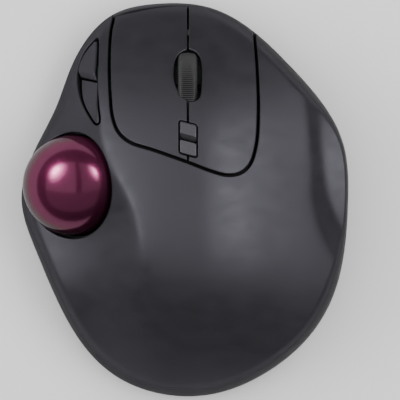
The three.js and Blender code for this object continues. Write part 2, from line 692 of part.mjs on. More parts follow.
/** A round bar along the side buttons' travel, from just over a switch outwards. */
function sideStem([up, y]) {
  const geometry = new THREE.CylinderGeometry(1.3, 1.3, SIDE_STEM_LENGTH, 12);
  geometry.rotateX(Math.PI / 2);
  geometry.translate(up, 0, SIDE_ACTUATOR + SIDE_STEM_LENGTH / 2);
  geometry.rotateY(SIDE_NORMAL_ANGLE);
  geometry.translate(SIDE_BOARD.x, y, SIDE_BOARD.z);
  return solid(geometry).intersect(form(1, 0));
}

/** A plan area on one side of the line between the side buttons: side is 1 for the front. */
function splitHalf(side) {
  const [start, end] = SIDE_SPLIT.map(([x, y]) => new THREE.Vector2(x, y));
  const along = end.clone().sub(start).normalize();
  const ahead = new THREE.Vector2(-along.y, along.x).multiplyScalar(side);
  const near = start.clone().addScaledVector(ahead, SIDE_SPLIT_GAP / 2);
  const corners = [[-FAR, 0], [FAR, 0], [FAR, FAR], [-FAR, FAR]].map(([across, out]) => {
    const point = near.clone().addScaledVector(along, across).addScaledVector(ahead, out);
    return [point.x, point.y];
  });
  return prism(side > 0 ? corners : corners.reverse(), SIDE_START_Z, OVERHEAD);
}

function sideButton(isForward) {
  const area = prism(grown(sideButtonPoints, -SIDE_GAP), SIDE_START_Z, OVERHEAD)
    .intersect(splitHalf(isForward ? 1 : -1));
  const cap = form(isForward ? -FORWARD_PROUD : 0, 0).subtract(INSIDE).intersect(area)
    .intersect(aboveSeam(SIDE_LIFT));
  return cap.add(sideStem(isForward ? SIDE_SWITCHES.forward : SIDE_SWITCHES.back));
}

// ---------------------------------------------------------------- ball cup, bearings and sensor

const CUP_AXIS = new THREE.Vector3(Math.sin(OPENING_TILT), 0, -Math.cos(OPENING_TILT));
const CUP_RIM_DROP = 2.6; // from the ball's middle down to the cup's rim, square to the rim
const CUP_FOOT_RADIUS = 10;
const BEARING_COUNT = 3;
const BEARING_RADIUS = 1.25;
const BEARING_TILT = THREE.MathUtils.degToRad(50);
const SENSOR_ANGLE = THREE.MathUtils.degToRad(122);
const LENS_RADIUS = 2.7;

/** The direction from the ball to one of its three bearings. */
function bearingDirection(index) {
  const turn = THREE.MathUtils.degToRad(90 + index * 360 / BEARING_COUNT);
  const side = new THREE.Vector3(Math.cos(OPENING_TILT), 0, Math.sin(OPENING_TILT));
  const along = new THREE.Vector3(0, 1, 0);
  return CUP_AXIS.clone().multiplyScalar(Math.cos(BEARING_TILT))
    .addScaledVector(side, Math.sin(BEARING_TILT) * Math.cos(turn))
    .addScaledVector(along, Math.sin(BEARING_TILT) * Math.sin(turn));
}

/** A round bar that points at the middle of the ball, between two distances from it. */
function spoke(direction, radius, from, to) {
  const geometry = new THREE.CylinderGeometry(radius, radius, to - from, 12);
  geometry.translate(0, (from + to) / 2, 0);
  geometry.applyQuaternion(new THREE.Quaternion().setFromUnitVectors(
    new THREE.Vector3(0, 1, 0), direction,
  ));
  geometry.translate(BALL.x, BALL.y, BALL.z);
  return solid(geometry);
}

function ballCup() {
  const rimCut = new THREE.BoxGeometry(FAR, FAR, FAR);
  rimCut.translate(0, 0, FAR / 2 - CUP_RIM_DROP);
  rimCut.rotateY(-OPENING_TILT);
  rimCut.translate(BALL.x, BALL.y, BALL.z);
  let cup = ball(CUP_OUTER, BALL, 32, 20).subtract(solid(rimCut));
  const cupBottom = BALL.z - CUP_OUTER;
  cup = cup.add(bar(CUP_FOOT_RADIUS, BALL.x, BALL.y, BOTTOM_Z + FLOOR, cupBottom + 3, 24));
  cup = cup.subtract(ball(CUP_INNER, BALL, 32, 20));
  cup = cup.subtract(bar(EJECT_RADIUS + 1, BALL.x, BALL.y, 0, cupBottom + 7, 24));

  const [inner, outer] = [CUP_INNER - 2, CUP_OUTER + 3];
  for (let i = 0; i < BEARING_COUNT; i += 1) {
    cup = cup.subtract(spoke(bearingDirection(i), BEARING_RADIUS + 0.3, inner, outer));
  }
  const sensorDirection = new THREE.Vector3(Math.sin(SENSOR_ANGLE), 0, Math.cos(SENSOR_ANGLE));
  cup = cup.subtract(spoke(sensorDirection, LENS_RADIUS + 0.5, inner, outer));
  return cup.intersect(form(WALL + 0.4, FLOOR));
}

// ---------------------------------------------------------------- boards and switches

const BOARD_POSTS = [...DECK_LEGS, [-4, -16], [16, -16]];
const SWITCH_SIZE = [5.8, 12.8, 6.5];
const SWITCH_BACK = CLICK_Y - 7.4;
const BUTTON_SWITCH = [4.8, 3]; // width and height of the small push switches
const NUB_RADIUS = 1;

function mainBoard() {
  const outline = [
    [-23, 25], [-8, 25], [-8, -20], [20, -20], [20, 25], [22, 25], [21, 52], [14, 60], [-14, 60],
    [-22.5, 54],
  ];
  return prism(outline, BOARD_Z, BOARD_TOP);
}

/** A click switch under a plate, with a pocket that its plunger slides in. */
function clickSwitch(x) {
  const [width, length, height] = SWITCH_SIZE;
  const top = BOARD_TOP + height;
  return block([x - width / 2, SWITCH_BACK, BOARD_TOP], [x + width / 2, SWITCH_BACK + length, top])
    .subtract(blockAbout({ x, y: CLICK_Y }, 1, 1.6, top - 2.2, top + 1));
}

function clickPlunger(x) {
  const start = BOARD_TOP + SWITCH_SIZE[2] - 0.9;
  return blockAbout({ x, y: CLICK_Y }, 0.7, 1.3, start, PLUNGER_TOP);
}

/** A small square push switch with a round nub, up to the stem of its button. */
function buttonSwitch(x, y, z, stemZ) {
  const [width, height] = BUTTON_SWITCH;
  return blockAbout({ x, y }, width / 2, width / 2, z, z + height)
    .add(bar(NUB_RADIUS, x, y, z + height - 1, stemZ - 0.9, 12));
}

// ---------------------------------------------------------------- assembly: casings and controls

add('top_shell', topShell(), SHELL_BLACK);
add('base_shell', baseShell(), SHELL_BLACK);
add('left_button', clickPlate(-1), BUTTON_BLACK);
add('right_button', clickPlate(1), BUTTON_BLACK);
add('button_deck', buttonDeck(), CUP_BLACK);

add('wheel_hub', wheelHub(), CUP_BLACK);
add('wheel_tyre', wheelTyre(), RUBBER);
add('wheel_carrier', wheelCarrier(), NATURAL_WHITE);
add('carrier_bracket', carrierBracket(), CUP_BLACK);
const encoderRight = ARM_X[0] - 1.1;
add('wheel_encoder', block(
  [encoderRight - 3.3, WHEEL.y - 4, WHEEL.z - 4.4], [encoderRight, WHEEL.y + 3.2, WHEEL.z + 2.2],
).subtract(aboutWheel(AXLE_RADIUS + 0.3, -FAR, FAR, 12)), CHIP_BLACK);

add('resolution_up_button', resolutionButton(1), GREY_GLOSS);
add('resolution_down_button', resolutionButton(-1), GREY_GLOSS);
add('forward_button', sideButton(true), BUTTON_BLACK);
add('back_button', sideButton(false), BUTTON_BLACK);

// ---------------------------------------------------------------- assembly: trackball

add('trackball', ball(BALL_RADIUS, BALL, 32, 20), MAROON);
add('ball_cup', ballCup(), CUP_BLACK);
for (let i = 0; i < BEARING_COUNT; i += 1) {
  const reach = BALL_RADIUS + BEARING_RADIUS + 0.05;
  const centre = BALL.clone().addScaledVector(bearingDirection(i), reach);
  add(`cup_bearing_${i + 1}`, ball(BEARING_RADIUS, centre, 12, 8), CERAMIC);
}

const sensor = new THREE.Group();
sensor.position.copy(BALL);
sensor.rotation.y = SENSOR_ANGLE;
mouse.add(sensor);
add('sensor_lens', bar(LENS_RADIUS, 0, 0, 18, 20.8, 16), CLEAR, sensor);
add('sensor_chip', block([-4.5, -4.5, 21.1], [4.5, 4.5, 23.3]), CHIP_BLACK, sensor);
add('sensor_board', block([-7.6, -9, 23.3], [7.6, 9, 24.5]), BOARD_GREEN, sensor);

// ---------------------------------------------------------------- assembly: electronics

add('main_board', mainBoard(), BOARD_GREEN);
for (const [name, x] of [['left', CLICK_X[0]], ['right', CLICK_X[1]]]) {
  add(`${name}_switch`, clickSwitch(x), CHIP_BLACK);
  add(`${name}_plunger`, clickPlunger(x), NATURAL_WHITE);
}
const middle = { x: WHEEL.x, y: 57 };
add('middle_switch', blockAbout(middle, 3.2, 2.7, BOARD_TOP, 14.2)
  .subtract(blockAbout(middle, 1.4, 1.2, 12.2, 16)), CHIP_BLACK);
add('middle_plunger', blockAbout(middle, 1, 0.9, 13.2, 15), NATURAL_WHITE);
add('radio_chip', block([-1, -8, BOARD_TOP], [7, 0, BOARD_TOP + 1.1]), CHIP_BLACK);

add('resolution_board', block(
  [CENTRE_X - 8.4, 10, RESOLUTION_BOARD_Z], [CENTRE_X + 8.4, 26.4, RESOLUTION_BOARD_TOP],
), BOARD_GREEN);
for (const [name, offset] of [['up', 3.1], ['down', -3.1]]) {
  add(`resolution_${name}_switch`, buttonSwitch(
    CENTRE_X, RESOLUTION_Y + offset, RESOLUTION_BOARD_TOP, RESOLUTION_STEM_Z,
  ), CHIP_BLACK);
}

const side = new THREE.Group();
side.position.copy(SIDE_BOARD);
side.rotation.y = SIDE_NORMAL_ANGLE;
mouse.add(side);
add('side_board', prism([
  [-2.4, 11], [-2.4, -2], [3.6, -11], [10, -11], [10, -4], [3.6, -1], [3.6, 11],
], -1.2, 0), BOARD_GREEN, side);
for (const [name, [x, y]] of Object.entries(SIDE_SWITCHES)) {
  add(`${name}_switch`, buttonSwitch(x, y - SIDE_BOARD.y, 0, SIDE_ACTUATOR), CHIP_BLACK, side);
}

// ---------------------------------------------------------------- assembly: cell and power

const cellEnd = CELL.x + CELL_LENGTH / 2;
const cellStart = CELL.x - CELL_LENGTH / 2;
add('battery_cell', crossBar(CELL_RADIUS, cellStart, cellEnd, CELL.y, CELL.z, 28)
  .add(crossBar(2.7, cellEnd - 1, cellEnd + 1, CELL.y, CELL.z, 16)), CELL_SLEEVE);
add('battery_plus_contact', block(
  [cellEnd + 1.1, CELL.y - 4.5, CELL.z - 5], [cellEnd + 1.7, CELL.y + 4.5, CELL.z + 5],
), STEEL);
add('battery_spring_contact', turned([[0, 0], [4.2, 0], [4.2, 0.5], [2.6, 2], [0, 2]], 16)
  .rotate([0, 90, 0]).translate([cellStart - 2.3, CELL.y, CELL.z]), STEEL);

const COVER_GAP = 0.4;
const COVER_THICKNESS = 1.6;
const fingerRecess = { x: CELL.x, y: BAY_HIGH[1] - 3 };
add('battery_cover', block(
  [BAY_LOW[0] + COVER_GAP, BAY_LOW[1] + COVER_GAP, BOTTOM_Z],
  [BAY_HIGH[0] - COVER_GAP, BAY_HIGH[1] - COVER_GAP, BOTTOM_Z + COVER_THICKNESS],
).subtract(blockAbout(fingerRecess, 6, 1, 0, BOTTOM_Z + 0.8)), SHELL_BLACK);

add('power_switch_body', blockAbout(POWER, 3.6, 6.4, 3.3, 7.3)
  .subtract(blockAbout(POWER, 1.7, 4, 2, 4.6)), CHIP_BLACK);
const knob = { x: POWER.x, y: POWER.y - 1.5 };
add('power_switch_knob', blockAbout(knob, 2.2, 2.2, 1.3, 2.9)
  .add(blockAbout(knob, 1.2, 1.2, 2.5, 4.2)), SLIDER_RED);

// ---------------------------------------------------------------- assembly: receiver, feet, screws

const [capWidth, capDepth, capHeight] = RECEIVER_SIZE;
const [plugWidth, plugDepth, plugHeight] = PLUG_SIZE;
const PLUG_WALL = 0.35;
const TONGUE_SIZE = [10.8, 1.6, 10.4];
const plugStart = BOTTOM_Z + capHeight;
const plugEnd = plugStart + plugHeight;
add('receiver_cap', blockAbout(RECEIVER, capWidth / 2, capDepth / 2, BOTTOM_Z, plugStart), CUP_BLACK);
add('receiver_plug', blockAbout(RECEIVER, plugWidth / 2, plugDepth / 2, plugStart, plugEnd)
  .subtract(blockAbout(
    RECEIVER, plugWidth / 2 - PLUG_WALL, plugDepth / 2 - PLUG_WALL, plugStart + 1, plugEnd + 1,
  )), STEEL);
add('receiver_tongue', blockAbout(
  { x: RECEIVER.x, y: RECEIVER.y + 0.9 }, TONGUE_SIZE[0] / 2, TONGUE_SIZE[1] / 2,
  plugStart + 1, plugStart + 1 + TONGUE_SIZE[2],
), CUP_BLACK);

// Each foot's middle, width and length.
const FEET = {
  front_foot: [-2, 54.5, 26, 6], rear_foot: [4, -55, 26, 6], thumb_foot: [-32, 36.5, 6, 12],
  left_foot: [-38, -22, 7, 14], right_foot: [43, -6, 6, 16],
};
for (const [name, [x, y, width, length]] of Object.entries(FEET)) {
  const corner = Math.min(width, length) / 2 - 0.01;
  add(name, prism(slotPoints(x, y, width, length, corner, 5), 0, BOTTOM_Z), FOOT_GREY);
}
const LABEL = [2, -6, 36, 20];
const LABEL_THICKNESS = 0.2;
add('label_plate', prism(
  slotPoints(...LABEL, 1.5, 3), BOTTOM_Z - LABEL_THICKNESS, BOTTOM_Z,
), LABEL_GREY);

SCREWS.forEach(([x, y], i) => {
  const head = turned([[0, 0], [2.1, 0], [2.1, 1.2], [1.1, 1.8], [1.1, 11], [0, 11.6]], 12);
  const recess = bar(0.8, 0, 0, -1, 0.8, 6);
  add(`case_screw_${i + 1}`, head.subtract(recess).translate([x, y, 1.4]), STEEL);
});

export default mouse;
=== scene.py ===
"""Thumb-operated trackball mouse: the looks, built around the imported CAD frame.

Lengths in this script are millimetres until a mesh is made, and metres in Blender.
"""
import json
import math

import bpy
import numpy as np
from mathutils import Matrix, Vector
from mathutils.geometry import delaunay_2d_cdt


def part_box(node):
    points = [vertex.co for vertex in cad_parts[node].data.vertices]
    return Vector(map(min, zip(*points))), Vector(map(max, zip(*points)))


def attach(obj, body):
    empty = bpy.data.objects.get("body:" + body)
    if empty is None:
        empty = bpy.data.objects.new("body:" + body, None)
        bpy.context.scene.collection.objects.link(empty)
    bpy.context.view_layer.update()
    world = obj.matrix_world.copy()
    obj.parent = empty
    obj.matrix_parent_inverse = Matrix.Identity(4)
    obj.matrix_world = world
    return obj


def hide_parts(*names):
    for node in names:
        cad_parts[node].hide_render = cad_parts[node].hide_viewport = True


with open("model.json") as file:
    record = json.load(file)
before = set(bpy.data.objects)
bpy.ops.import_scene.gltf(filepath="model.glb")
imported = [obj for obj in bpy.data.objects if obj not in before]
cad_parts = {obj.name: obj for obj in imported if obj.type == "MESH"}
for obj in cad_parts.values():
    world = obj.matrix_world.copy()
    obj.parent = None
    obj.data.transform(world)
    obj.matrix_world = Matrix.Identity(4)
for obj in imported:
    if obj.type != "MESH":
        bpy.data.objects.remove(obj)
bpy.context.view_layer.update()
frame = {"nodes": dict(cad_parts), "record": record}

MM = 0.001

# ------------ driving dimensions, mm

OUTLINE = np.array([
    [56, -1], [56, 18], [48, 33], [36, 46], [23, 59], [8, 67.5], [-11, 67.5], [-27, 64.5], [-39, 48],
    [-43, 32], [-52, 17], [-58, 0], [-51, -17], [-45, -32], [-37, -48], [-25, -61], [-8, -67.5],
    [10, -67.5], [26, -61], [41, -50], [51, -35], [55, -18],
])
SEAM_Z = 10
SEAM_TILT = 0.05
SEAM_GAP = 0.4
WALL = 2.0

TOP_Z = 48
PEAK_X = 2
PEAK_Y = -4
DOME_FALL = 0.0076
DOME_SKEW = -1.53e-5
SIDE_SLOPE = 0.53
CROWN = 20
SPREAD_LENGTH = 78

RIDGE_X = -22.2
RIDGE_SWING = 7.6
RIDGE_Y = 6.5
RIDGE_LENGTH = 13.5

CREASE_X = 43.4
FLANK_SLOPE = 0.95
FLANGE_Z = 29.3
FLANGE_SLOPE = 0.25

RIM_REACH = 5
FLANGE_RIM_REACH = 1.6
RIM_LENGTH = 11.2
BOTTOM_Z = 1
TUCK = 6.5
SIDE_UNROLL = 1.9

BALL = np.array([-38.1, 5, 26])
BALL_RADIUS = 17
SOCKET_RADIUS = 18
EJECT_RADIUS = 6

PLATE_GAP = 1
CENTRE_X = 1.1
CENTRE_GAP = 0.6
WHEEL = np.array([1, 38.1, 26.2])
WHEEL_RADIUS = 12
PLATE_LIFT = 2.9  # 0.9 more than the solids, so that a pressed plate clears the base
WHEEL_SLOT = np.array([
    [1.3, 51.3], [-1.6, 50], [-3, 47.9], [-3.6, 44.6], [-3.5, 40.9], [-2.7, 38.2], [-1.2, 35.8],
    [0.5, 34.1], [2.3, 33.5], [4.2, 34], [5.3, 35.4], [5.6, 38], [5.6, 46.4], [5.1, 48.6], [3.6, 50.5],
])
RESOLUTION = (1.2, 20.7)
RESOLUTION_SLOT = (6.5, 11.5)
VALLEY_Y = 20.4
RESOLUTION_SHEAR = -0.26
SIDE_GAP = 0.7
SIDE_SPLIT = np.array([[-36.4, 41.8], [-30, 40.4]])
SIDE_SPLIT_GAP = 0.5
FORWARD_TIP_Y = 54.0

PLATE_SEAM = np.array([
    [24.2, 80], [24.4, 57], [25.2, 44], [25.6, 30], [24.8, 18.5], [22.6, 11.8], [19.2, 8.7],
    [14.6, 7.9], [9.2, 9.2], [0.8, 12.4], [-10.5, 16.4], [-18.8, 19.2], [-22.8, 22.6], [-25, 28],
    [-26, 38], [-26.2, 48], [-25.8, 57], [-24.6, 64], [-24, 80],
])
SIDE_BUTTONS = np.array([
    [-29.8, 55.4], [-32.6, 53], [-35.2, 49], [-36.8, 42.5], [-36, 35.6], [-33.2, 29.2], [-30.2, 25.3],
    [-28.8, 26], [-29.2, 33], [-29.7, 40.8], [-29.4, 48],
])
BATTERY = (6.2, -34, 11.3)
PLUG = (31, -12)
POWER = (36, 10.5)
SCREWS = ((-35.8, 28.2), (30.5, 34), (40, -29), (-30, -36))

# ------------ curves in plan

CORNER_DEGREES = 25


def turns(count):
    """Even angles round a full turn."""
    return np.arange(count) * 2 * math.pi / count


def polar(radius, angle):
    return np.column_stack([radius * np.cos(angle), radius * np.sin(angle)])


def angle_of(plan):
    return np.arctan2(plan[:, 1], plan[:, 0])


def at_height(plan, z):
    return np.column_stack([plan, np.full(len(plan), float(z))])


def spline_outline(count):
    """Points of the closed cubic B-spline that is the widest outline."""
    u = np.arange(count) * len(OUTLINE) / count
    first = np.floor(u).astype(int)
    f = u - first
    weights = (
        (1 - f) ** 3 / 6,
        (3 * f**3 - 6 * f**2 + 4) / 6,
        (-3 * f**3 + 3 * f**2 + 3 * f + 1) / 6,
        f**3 / 6,
    )
    return sum(
        weight[:, None] * OUTLINE[(first + k - 1) % len(OUTLINE)] for k, weight in enumerate(weights)
    )


def smooth_curve(points, closed, steps):
    """Centripetal Catmull-Rom curve through plan points, with steps points for each span."""
    points = np.asarray(points, float)
    if closed:
        ring = np.vstack([points[-1:], points, points[:2]])
    else:
        ring = np.vstack([2 * points[0] - points[1], points, 2 * points[-1] - points[-2]])
    made = []
    for k in range(len(ring) - 3):
        p0, p1, p2, p3 = ring[k:k + 4]
        d0, d1, d2 = (max(np.linalg.norm(b - a) ** 0.5, 1e-6) for a, b in ((p0, p1), (p1, p2), (p2, p3)))
        m1 = ((p1 - p0) / d0 - (p2 - p0) / (d0 + d1) + (p2 - p1) / d1) * d1
        m2 = ((p2 - p1) / d1 - (p3 - p1) / (d1 + d2) + (p3 - p2) / d2) * d1
        t = (np.arange(steps) / steps)[:, None]
        made.append(
            (2 * t**3 - 3 * t**2 + 1) * p1 + (t**3 - 2 * t**2 + t) * m1
            + (3 * t**2 - 2 * t**3) * p2 + (t**3 - t**2) * m2
        )
    if not closed:
        made.append(points[-1:])
    return np.vstack(made)


def resampled(points, spacing, closed=True):
    """The same polyline with an even spacing; a closed one keeps its corners past CORNER_DEGREES."""
    points = np.asarray(points, float)
    count = len(points)
    step = np.roll(points, -1, 0) - points
    if closed:
        before = np.roll(step, 1, 0)
        turn = np.abs(np.degrees(np.arctan2(
            before[:, 0] * step[:, 1] - before[:, 1] * step[:, 0], (before * step).sum(1)
        )))
        corners = np.flatnonzero(turn > CORNER_DEGREES)
        if not len(corners):
            corners = np.array([0])
        stops = list(corners) + [corners[0] + count]
    else:
        stops = [0, count - 1]
    made = []
    for start, end in zip(stops[:-1], stops[1:]):
        run = points[np.arange(start, end + 1) % count]
        length = np.r_[0, np.cumsum(np.linalg.norm(np.diff(run, axis=0), axis=1))]
        if length[-1] < 1e-6:
            continue
        pieces = max(1, int(round(length[-1] / spacing)))
        at = np.linspace(0, length[-1], pieces + 1)
        even = np.column_stack([np.interp(at, length, run[:, axis]) for axis in (0, 1)])
        made.append(even[:-1])
    if not closed:
        made.append(points[-1:])
    return np.vstack(made)


def inset(loop, distance):
    """Moves a closed loop towards the material on its left by a distance."""
    into = loop - np.roll(loop, 1, 0)
    out_of = np.roll(loop, -1, 0) - loop
    into /= np.maximum(np.linalg.norm(into, axis=1, keepdims=True), 1e-9)
    out_of /= np.maximum(np.linalg.norm(out_of, axis=1, keepdims=True), 1e-9)
    left = np.column_stack([-into[:, 1] - out_of[:, 1], into[:, 0] + out_of[:, 0]])
    left /= np.maximum(np.linalg.norm(left, axis=1, keepdims=True), 1e-9)
    lean = (left * np.column_stack([-into[:, 1], into[:, 0]])).sum(1, keepdims=True)
    return loop + left * distance / np.maximum(lean, 0.6)


def slot_loop(x, y, width, length, corner, steps=10):
    """A counter-clockwise slot with rounded corners."""
    made = []
    for quarter, (sx, sy) in enumerate(((1, 1), (-1, 1), (-1, -1), (1, -1))):
        turn = (quarter + np.arange(steps + 1) / steps) * math.pi / 2
        made.append(np.column_stack([
            x + sx * (width / 2 - corner) + corner * np.cos(turn),
            y + sy * (length / 2 - corner) + corner * np.sin(turn),
        ]))
    return np.vstack(made)


def circle_loop(x, y, radius, count):
    """A counter-clockwise circle, or an outline with one radius for each direction."""
    return polar(radius, turns(count)) + [x, y]


def inside(loops, points):
    """Which points are inside an odd number of the loops."""
    odd = np.zeros(len(points), bool)
    for loop in loops:
        for a, b in zip(loop, np.roll(loop, -1, 0)):
            crosses = (a[1] > points[:, 1]) != (b[1] > points[:, 1])
            if not crosses.any():
                continue
            at = a[0] + (points[:, 1] - a[1]) / (b[1] - a[1] if b[1] != a[1] else 1e-12) * (b[0] - a[0])
            odd ^= crosses & (points[:, 0] < at)
    return odd


# ------------ the outer form

_samples = spline_outline(6000)
_angles = angle_of(_samples)
_order = np.argsort(_angles)
_angles = _angles[_order]
_radii = np.hypot(*_samples[_order].T)


def outline_radius(angle):
    return np.interp(angle, _angles, _radii, period=2 * math.pi)


def smooth_min(a, b, k):
    return (a + b) / 2 - np.hypot((a - b) / 2, k)


def smooth_max(a, b, k):
    return (a + b) / 2 + np.hypot((a - b) / 2, k)


def ramp(start, end, value):
    t = np.clip((value - start) / (end - start), 0, 1)
    return t * t * (3 - 2 * t)


def seam_height(y):
    return SEAM_Z + SEAM_TILT * y


def dome(x, y):
    along = y - PEAK_Y
    fall = DOME_FALL * along**2 + DOME_SKEW * along**3
    spread = np.exp(-((along / SPREAD_LENGTH) ** 2))
    return TOP_Z - fall - SIDE_SLOPE * spread * (np.hypot(x - PEAK_X, CROWN) - CROWN)


def roof(x, y):
    """The top surface before its rim is rounded: dome, thumb scoop and little-finger flange."""
    ridge = RIDGE_X - RIDGE_SWING * np.tanh((y - RIDGE_Y) / RIDGE_LENGTH)
    reach = ridge - x
    steepness = 0.78 + 0.12 * ramp(-40, -5, y) + 0.32 * ramp(16, 38, y)
    hollow = 0.0045 * (1 - ramp(14, 34, y))
    scoop = dome(ridge, y) - steepness * reach + hollow * np.maximum(0, reach) ** 2
    softness = 0.5 + 2.4 * (1 - ramp(-55, -8, y))
    left = smooth_min(dome(x, y), scoop, softness)

    crease = CREASE_X + 0.0118 * np.maximum(0, 6 - y) ** 2 - 0.0024 * np.maximum(0, y - 6) ** 2
    steep = np.exp(-(((y - 9) / 45) ** 4))
    flank = dome(crease, y) - (0.5 + (FLANK_SLOPE - 0.5) * steep) * (x - crease)
    flange = (
        FLANGE_Z - FLANGE_SLOPE * (x - 50) - 0.0088 * (y - 7) ** 2
        - 0.05 * np.maximum(0, 44 - x) ** 2
    )
    return smooth_max(smooth_min(left, flank, 0.35), flange, 0.8)


def rim_reach(angle):
    """How far in from the outline the rim starts to round."""
    wrapped = (angle + math.pi) % (2 * math.pi) - math.pi
    return RIM_REACH - (RIM_REACH - FLANGE_RIM_REACH) * np.exp(-(((wrapped - 0.12) / 0.52) ** 4))


class Surface:
    """A surface over a flat chart. Charts are plans with the steep rim rolled out flat."""

    sign = 1

    def normal(self, chart):
        e = 0.02
        along_x = self.point(chart + [e, 0]) - self.point(chart - [e, 0])
        along_y = self.point(chart + [0, e]) - self.point(chart - [0, e])
        n = np.cross(along_x, along_y)
        return self.sign * n / np.maximum(np.linalg.norm(n, axis=1, keepdims=True), 1e-12)

    def outward(self, chart):
        """The direction a panel's walls run along."""
        return self.normal(chart)


class TopSurface(Surface):
    """The top of the mouse down to the seam, and a little past it."""

    def point(self, chart):
        angle = angle_of(chart)
        reach = rim_reach(angle)
        flat = outline_radius(angle) - reach
        rho = np.hypot(chart[:, 0], chart[:, 1])
        t = np.maximum(0, (rho - flat) / RIM_LENGTH)
        q = 2 * t - t * t
        r = np.where(t > 0, flat + q * reach, rho)
        x = r * np.cos(angle)
        y = r * np.sin(angle)
        rim = seam_height(y)
        drop = np.sqrt(np.maximum(0, 1 - q**3)) * np.where(t > 1, -1, 1)
        return np.column_stack([x, y, rim + (roof(x, y) - rim) * drop])

    def chart(self, plan):
        """The chart places of plan points; points outside the outline come out past the seam."""
        plan = np.asarray(plan, float)
        angle = angle_of(plan)
        reach = rim_reach(angle)
        flat = outline_radius(angle) - reach
        r = np.hypot(plan[:, 0], plan[:, 1])
        q = (r - flat) / reach
        t = np.where(q < 1, 1 - np.sqrt(np.maximum(0, 1 - q)), q)
        rho = np.where(q > 0, flat + t * RIM_LENGTH, r)
        return polar(rho, angle)

    def edge(self, angle, lift):
        """Chart points at a height above the seam, for an array of directions."""
        reach = rim_reach(angle)
        flat = outline_radius(angle) - reach
        q = np.ones_like(angle)
        for _ in range(4):
            r = flat + q * reach
            x, y = r * np.cos(angle), r * np.sin(angle)
            rise = np.maximum(roof(x, y) - seam_height(y), lift + 0.1)
            q = (1 - (lift / rise) ** 2) ** (1 / 3)
        rho = flat + (1 - np.sqrt(1 - q)) * RIM_LENGTH
        return polar(rho, angle)


class BaseSurface(Surface):
    """The base from its flat underside up to the seam, seen from outside."""

    sign = -1

    def point(self, chart):
        angle = angle_of(chart)
        rho = np.hypot(chart[:, 0], chart[:, 1])
        edge = outline_radius(angle)
        flat = edge - TUCK
        up = np.clip((rho - flat) / (SIDE_UNROLL * TUCK), 0, 1.2)
        down = 1 - up
        bend = np.abs(down) ** 1.8
        r = np.where(rho > flat, edge - TUCK * bend, rho)
        x, y = r * np.cos(angle), r * np.sin(angle)
        seam = seam_height(y)
        z = seam + (BOTTOM_Z - seam) * down
        soft = 1.3
        near = np.clip((rho - flat + soft) / (2 * soft), 0, 1)
        lift = (seam - BOTTOM_Z) / (SIDE_UNROLL * TUCK) * soft
        blended = BOTTOM_Z + lift * near**2
        z = np.where(rho < flat + soft, np.where(rho > flat - soft, blended, BOTTOM_Z), z)
        return np.column_stack([x, y, z])

    def chart(self, plan):
        """The chart places of plan points."""
        plan = np.asarray(plan, float)
        angle = angle_of(plan)
        edge = outline_radius(angle)
        r = np.hypot(plan[:, 0], plan[:, 1])
        down = np.clip((edge - r) / TUCK, 0, 1) ** (1 / 1.8)
        rho = np.where(edge - r < TUCK, edge - TUCK + (1 - down) * SIDE_UNROLL * TUCK, r)
        return polar(rho, angle)

    def edge(self, angle, drop):
        """Chart points at a height below the seam."""
        seam = seam_height(outline_radius(angle) * np.sin(angle))
        up = 1 - drop / (seam - BOTTOM_Z)
        rho = outline_radius(angle) - TUCK + up * SIDE_UNROLL * TUCK
        return polar(rho, angle)


class FlatSurface(Surface):
    """A level face at one height, facing up or down."""

    def __init__(self, z, sign):
        self.z = z
        self.sign = sign

    def point(self, chart):
        return at_height(chart, self.z)


class Lifted(Surface):
    """Another surface, raised by a function of the points' plan."""

    def __init__(self, base, lift):
        self.base = base
        self.lift = lift
        self.sign = base.sign

    def point(self, chart):
        points = self.base.point(chart)
        return points + self.base.normal(chart) * self.lift(points[:, :2])[:, None]

    def outward(self, chart):
        return self.base.normal(chart)


class UprightSurface(Surface):
    """A flat upright face across Y; charts are x and z. Facing is 1 for +Y and -1 for -Y."""

    def __init__(self, y, facing):
        self.y = y
        self.sign = -facing

    def point(self, chart):
        return np.column_stack([chart[:, 0], np.full(len(chart), float(self.y)), chart[:, 1]])


TOP = TopSurface()
BASE = BaseSurface()

# ------------ meshes


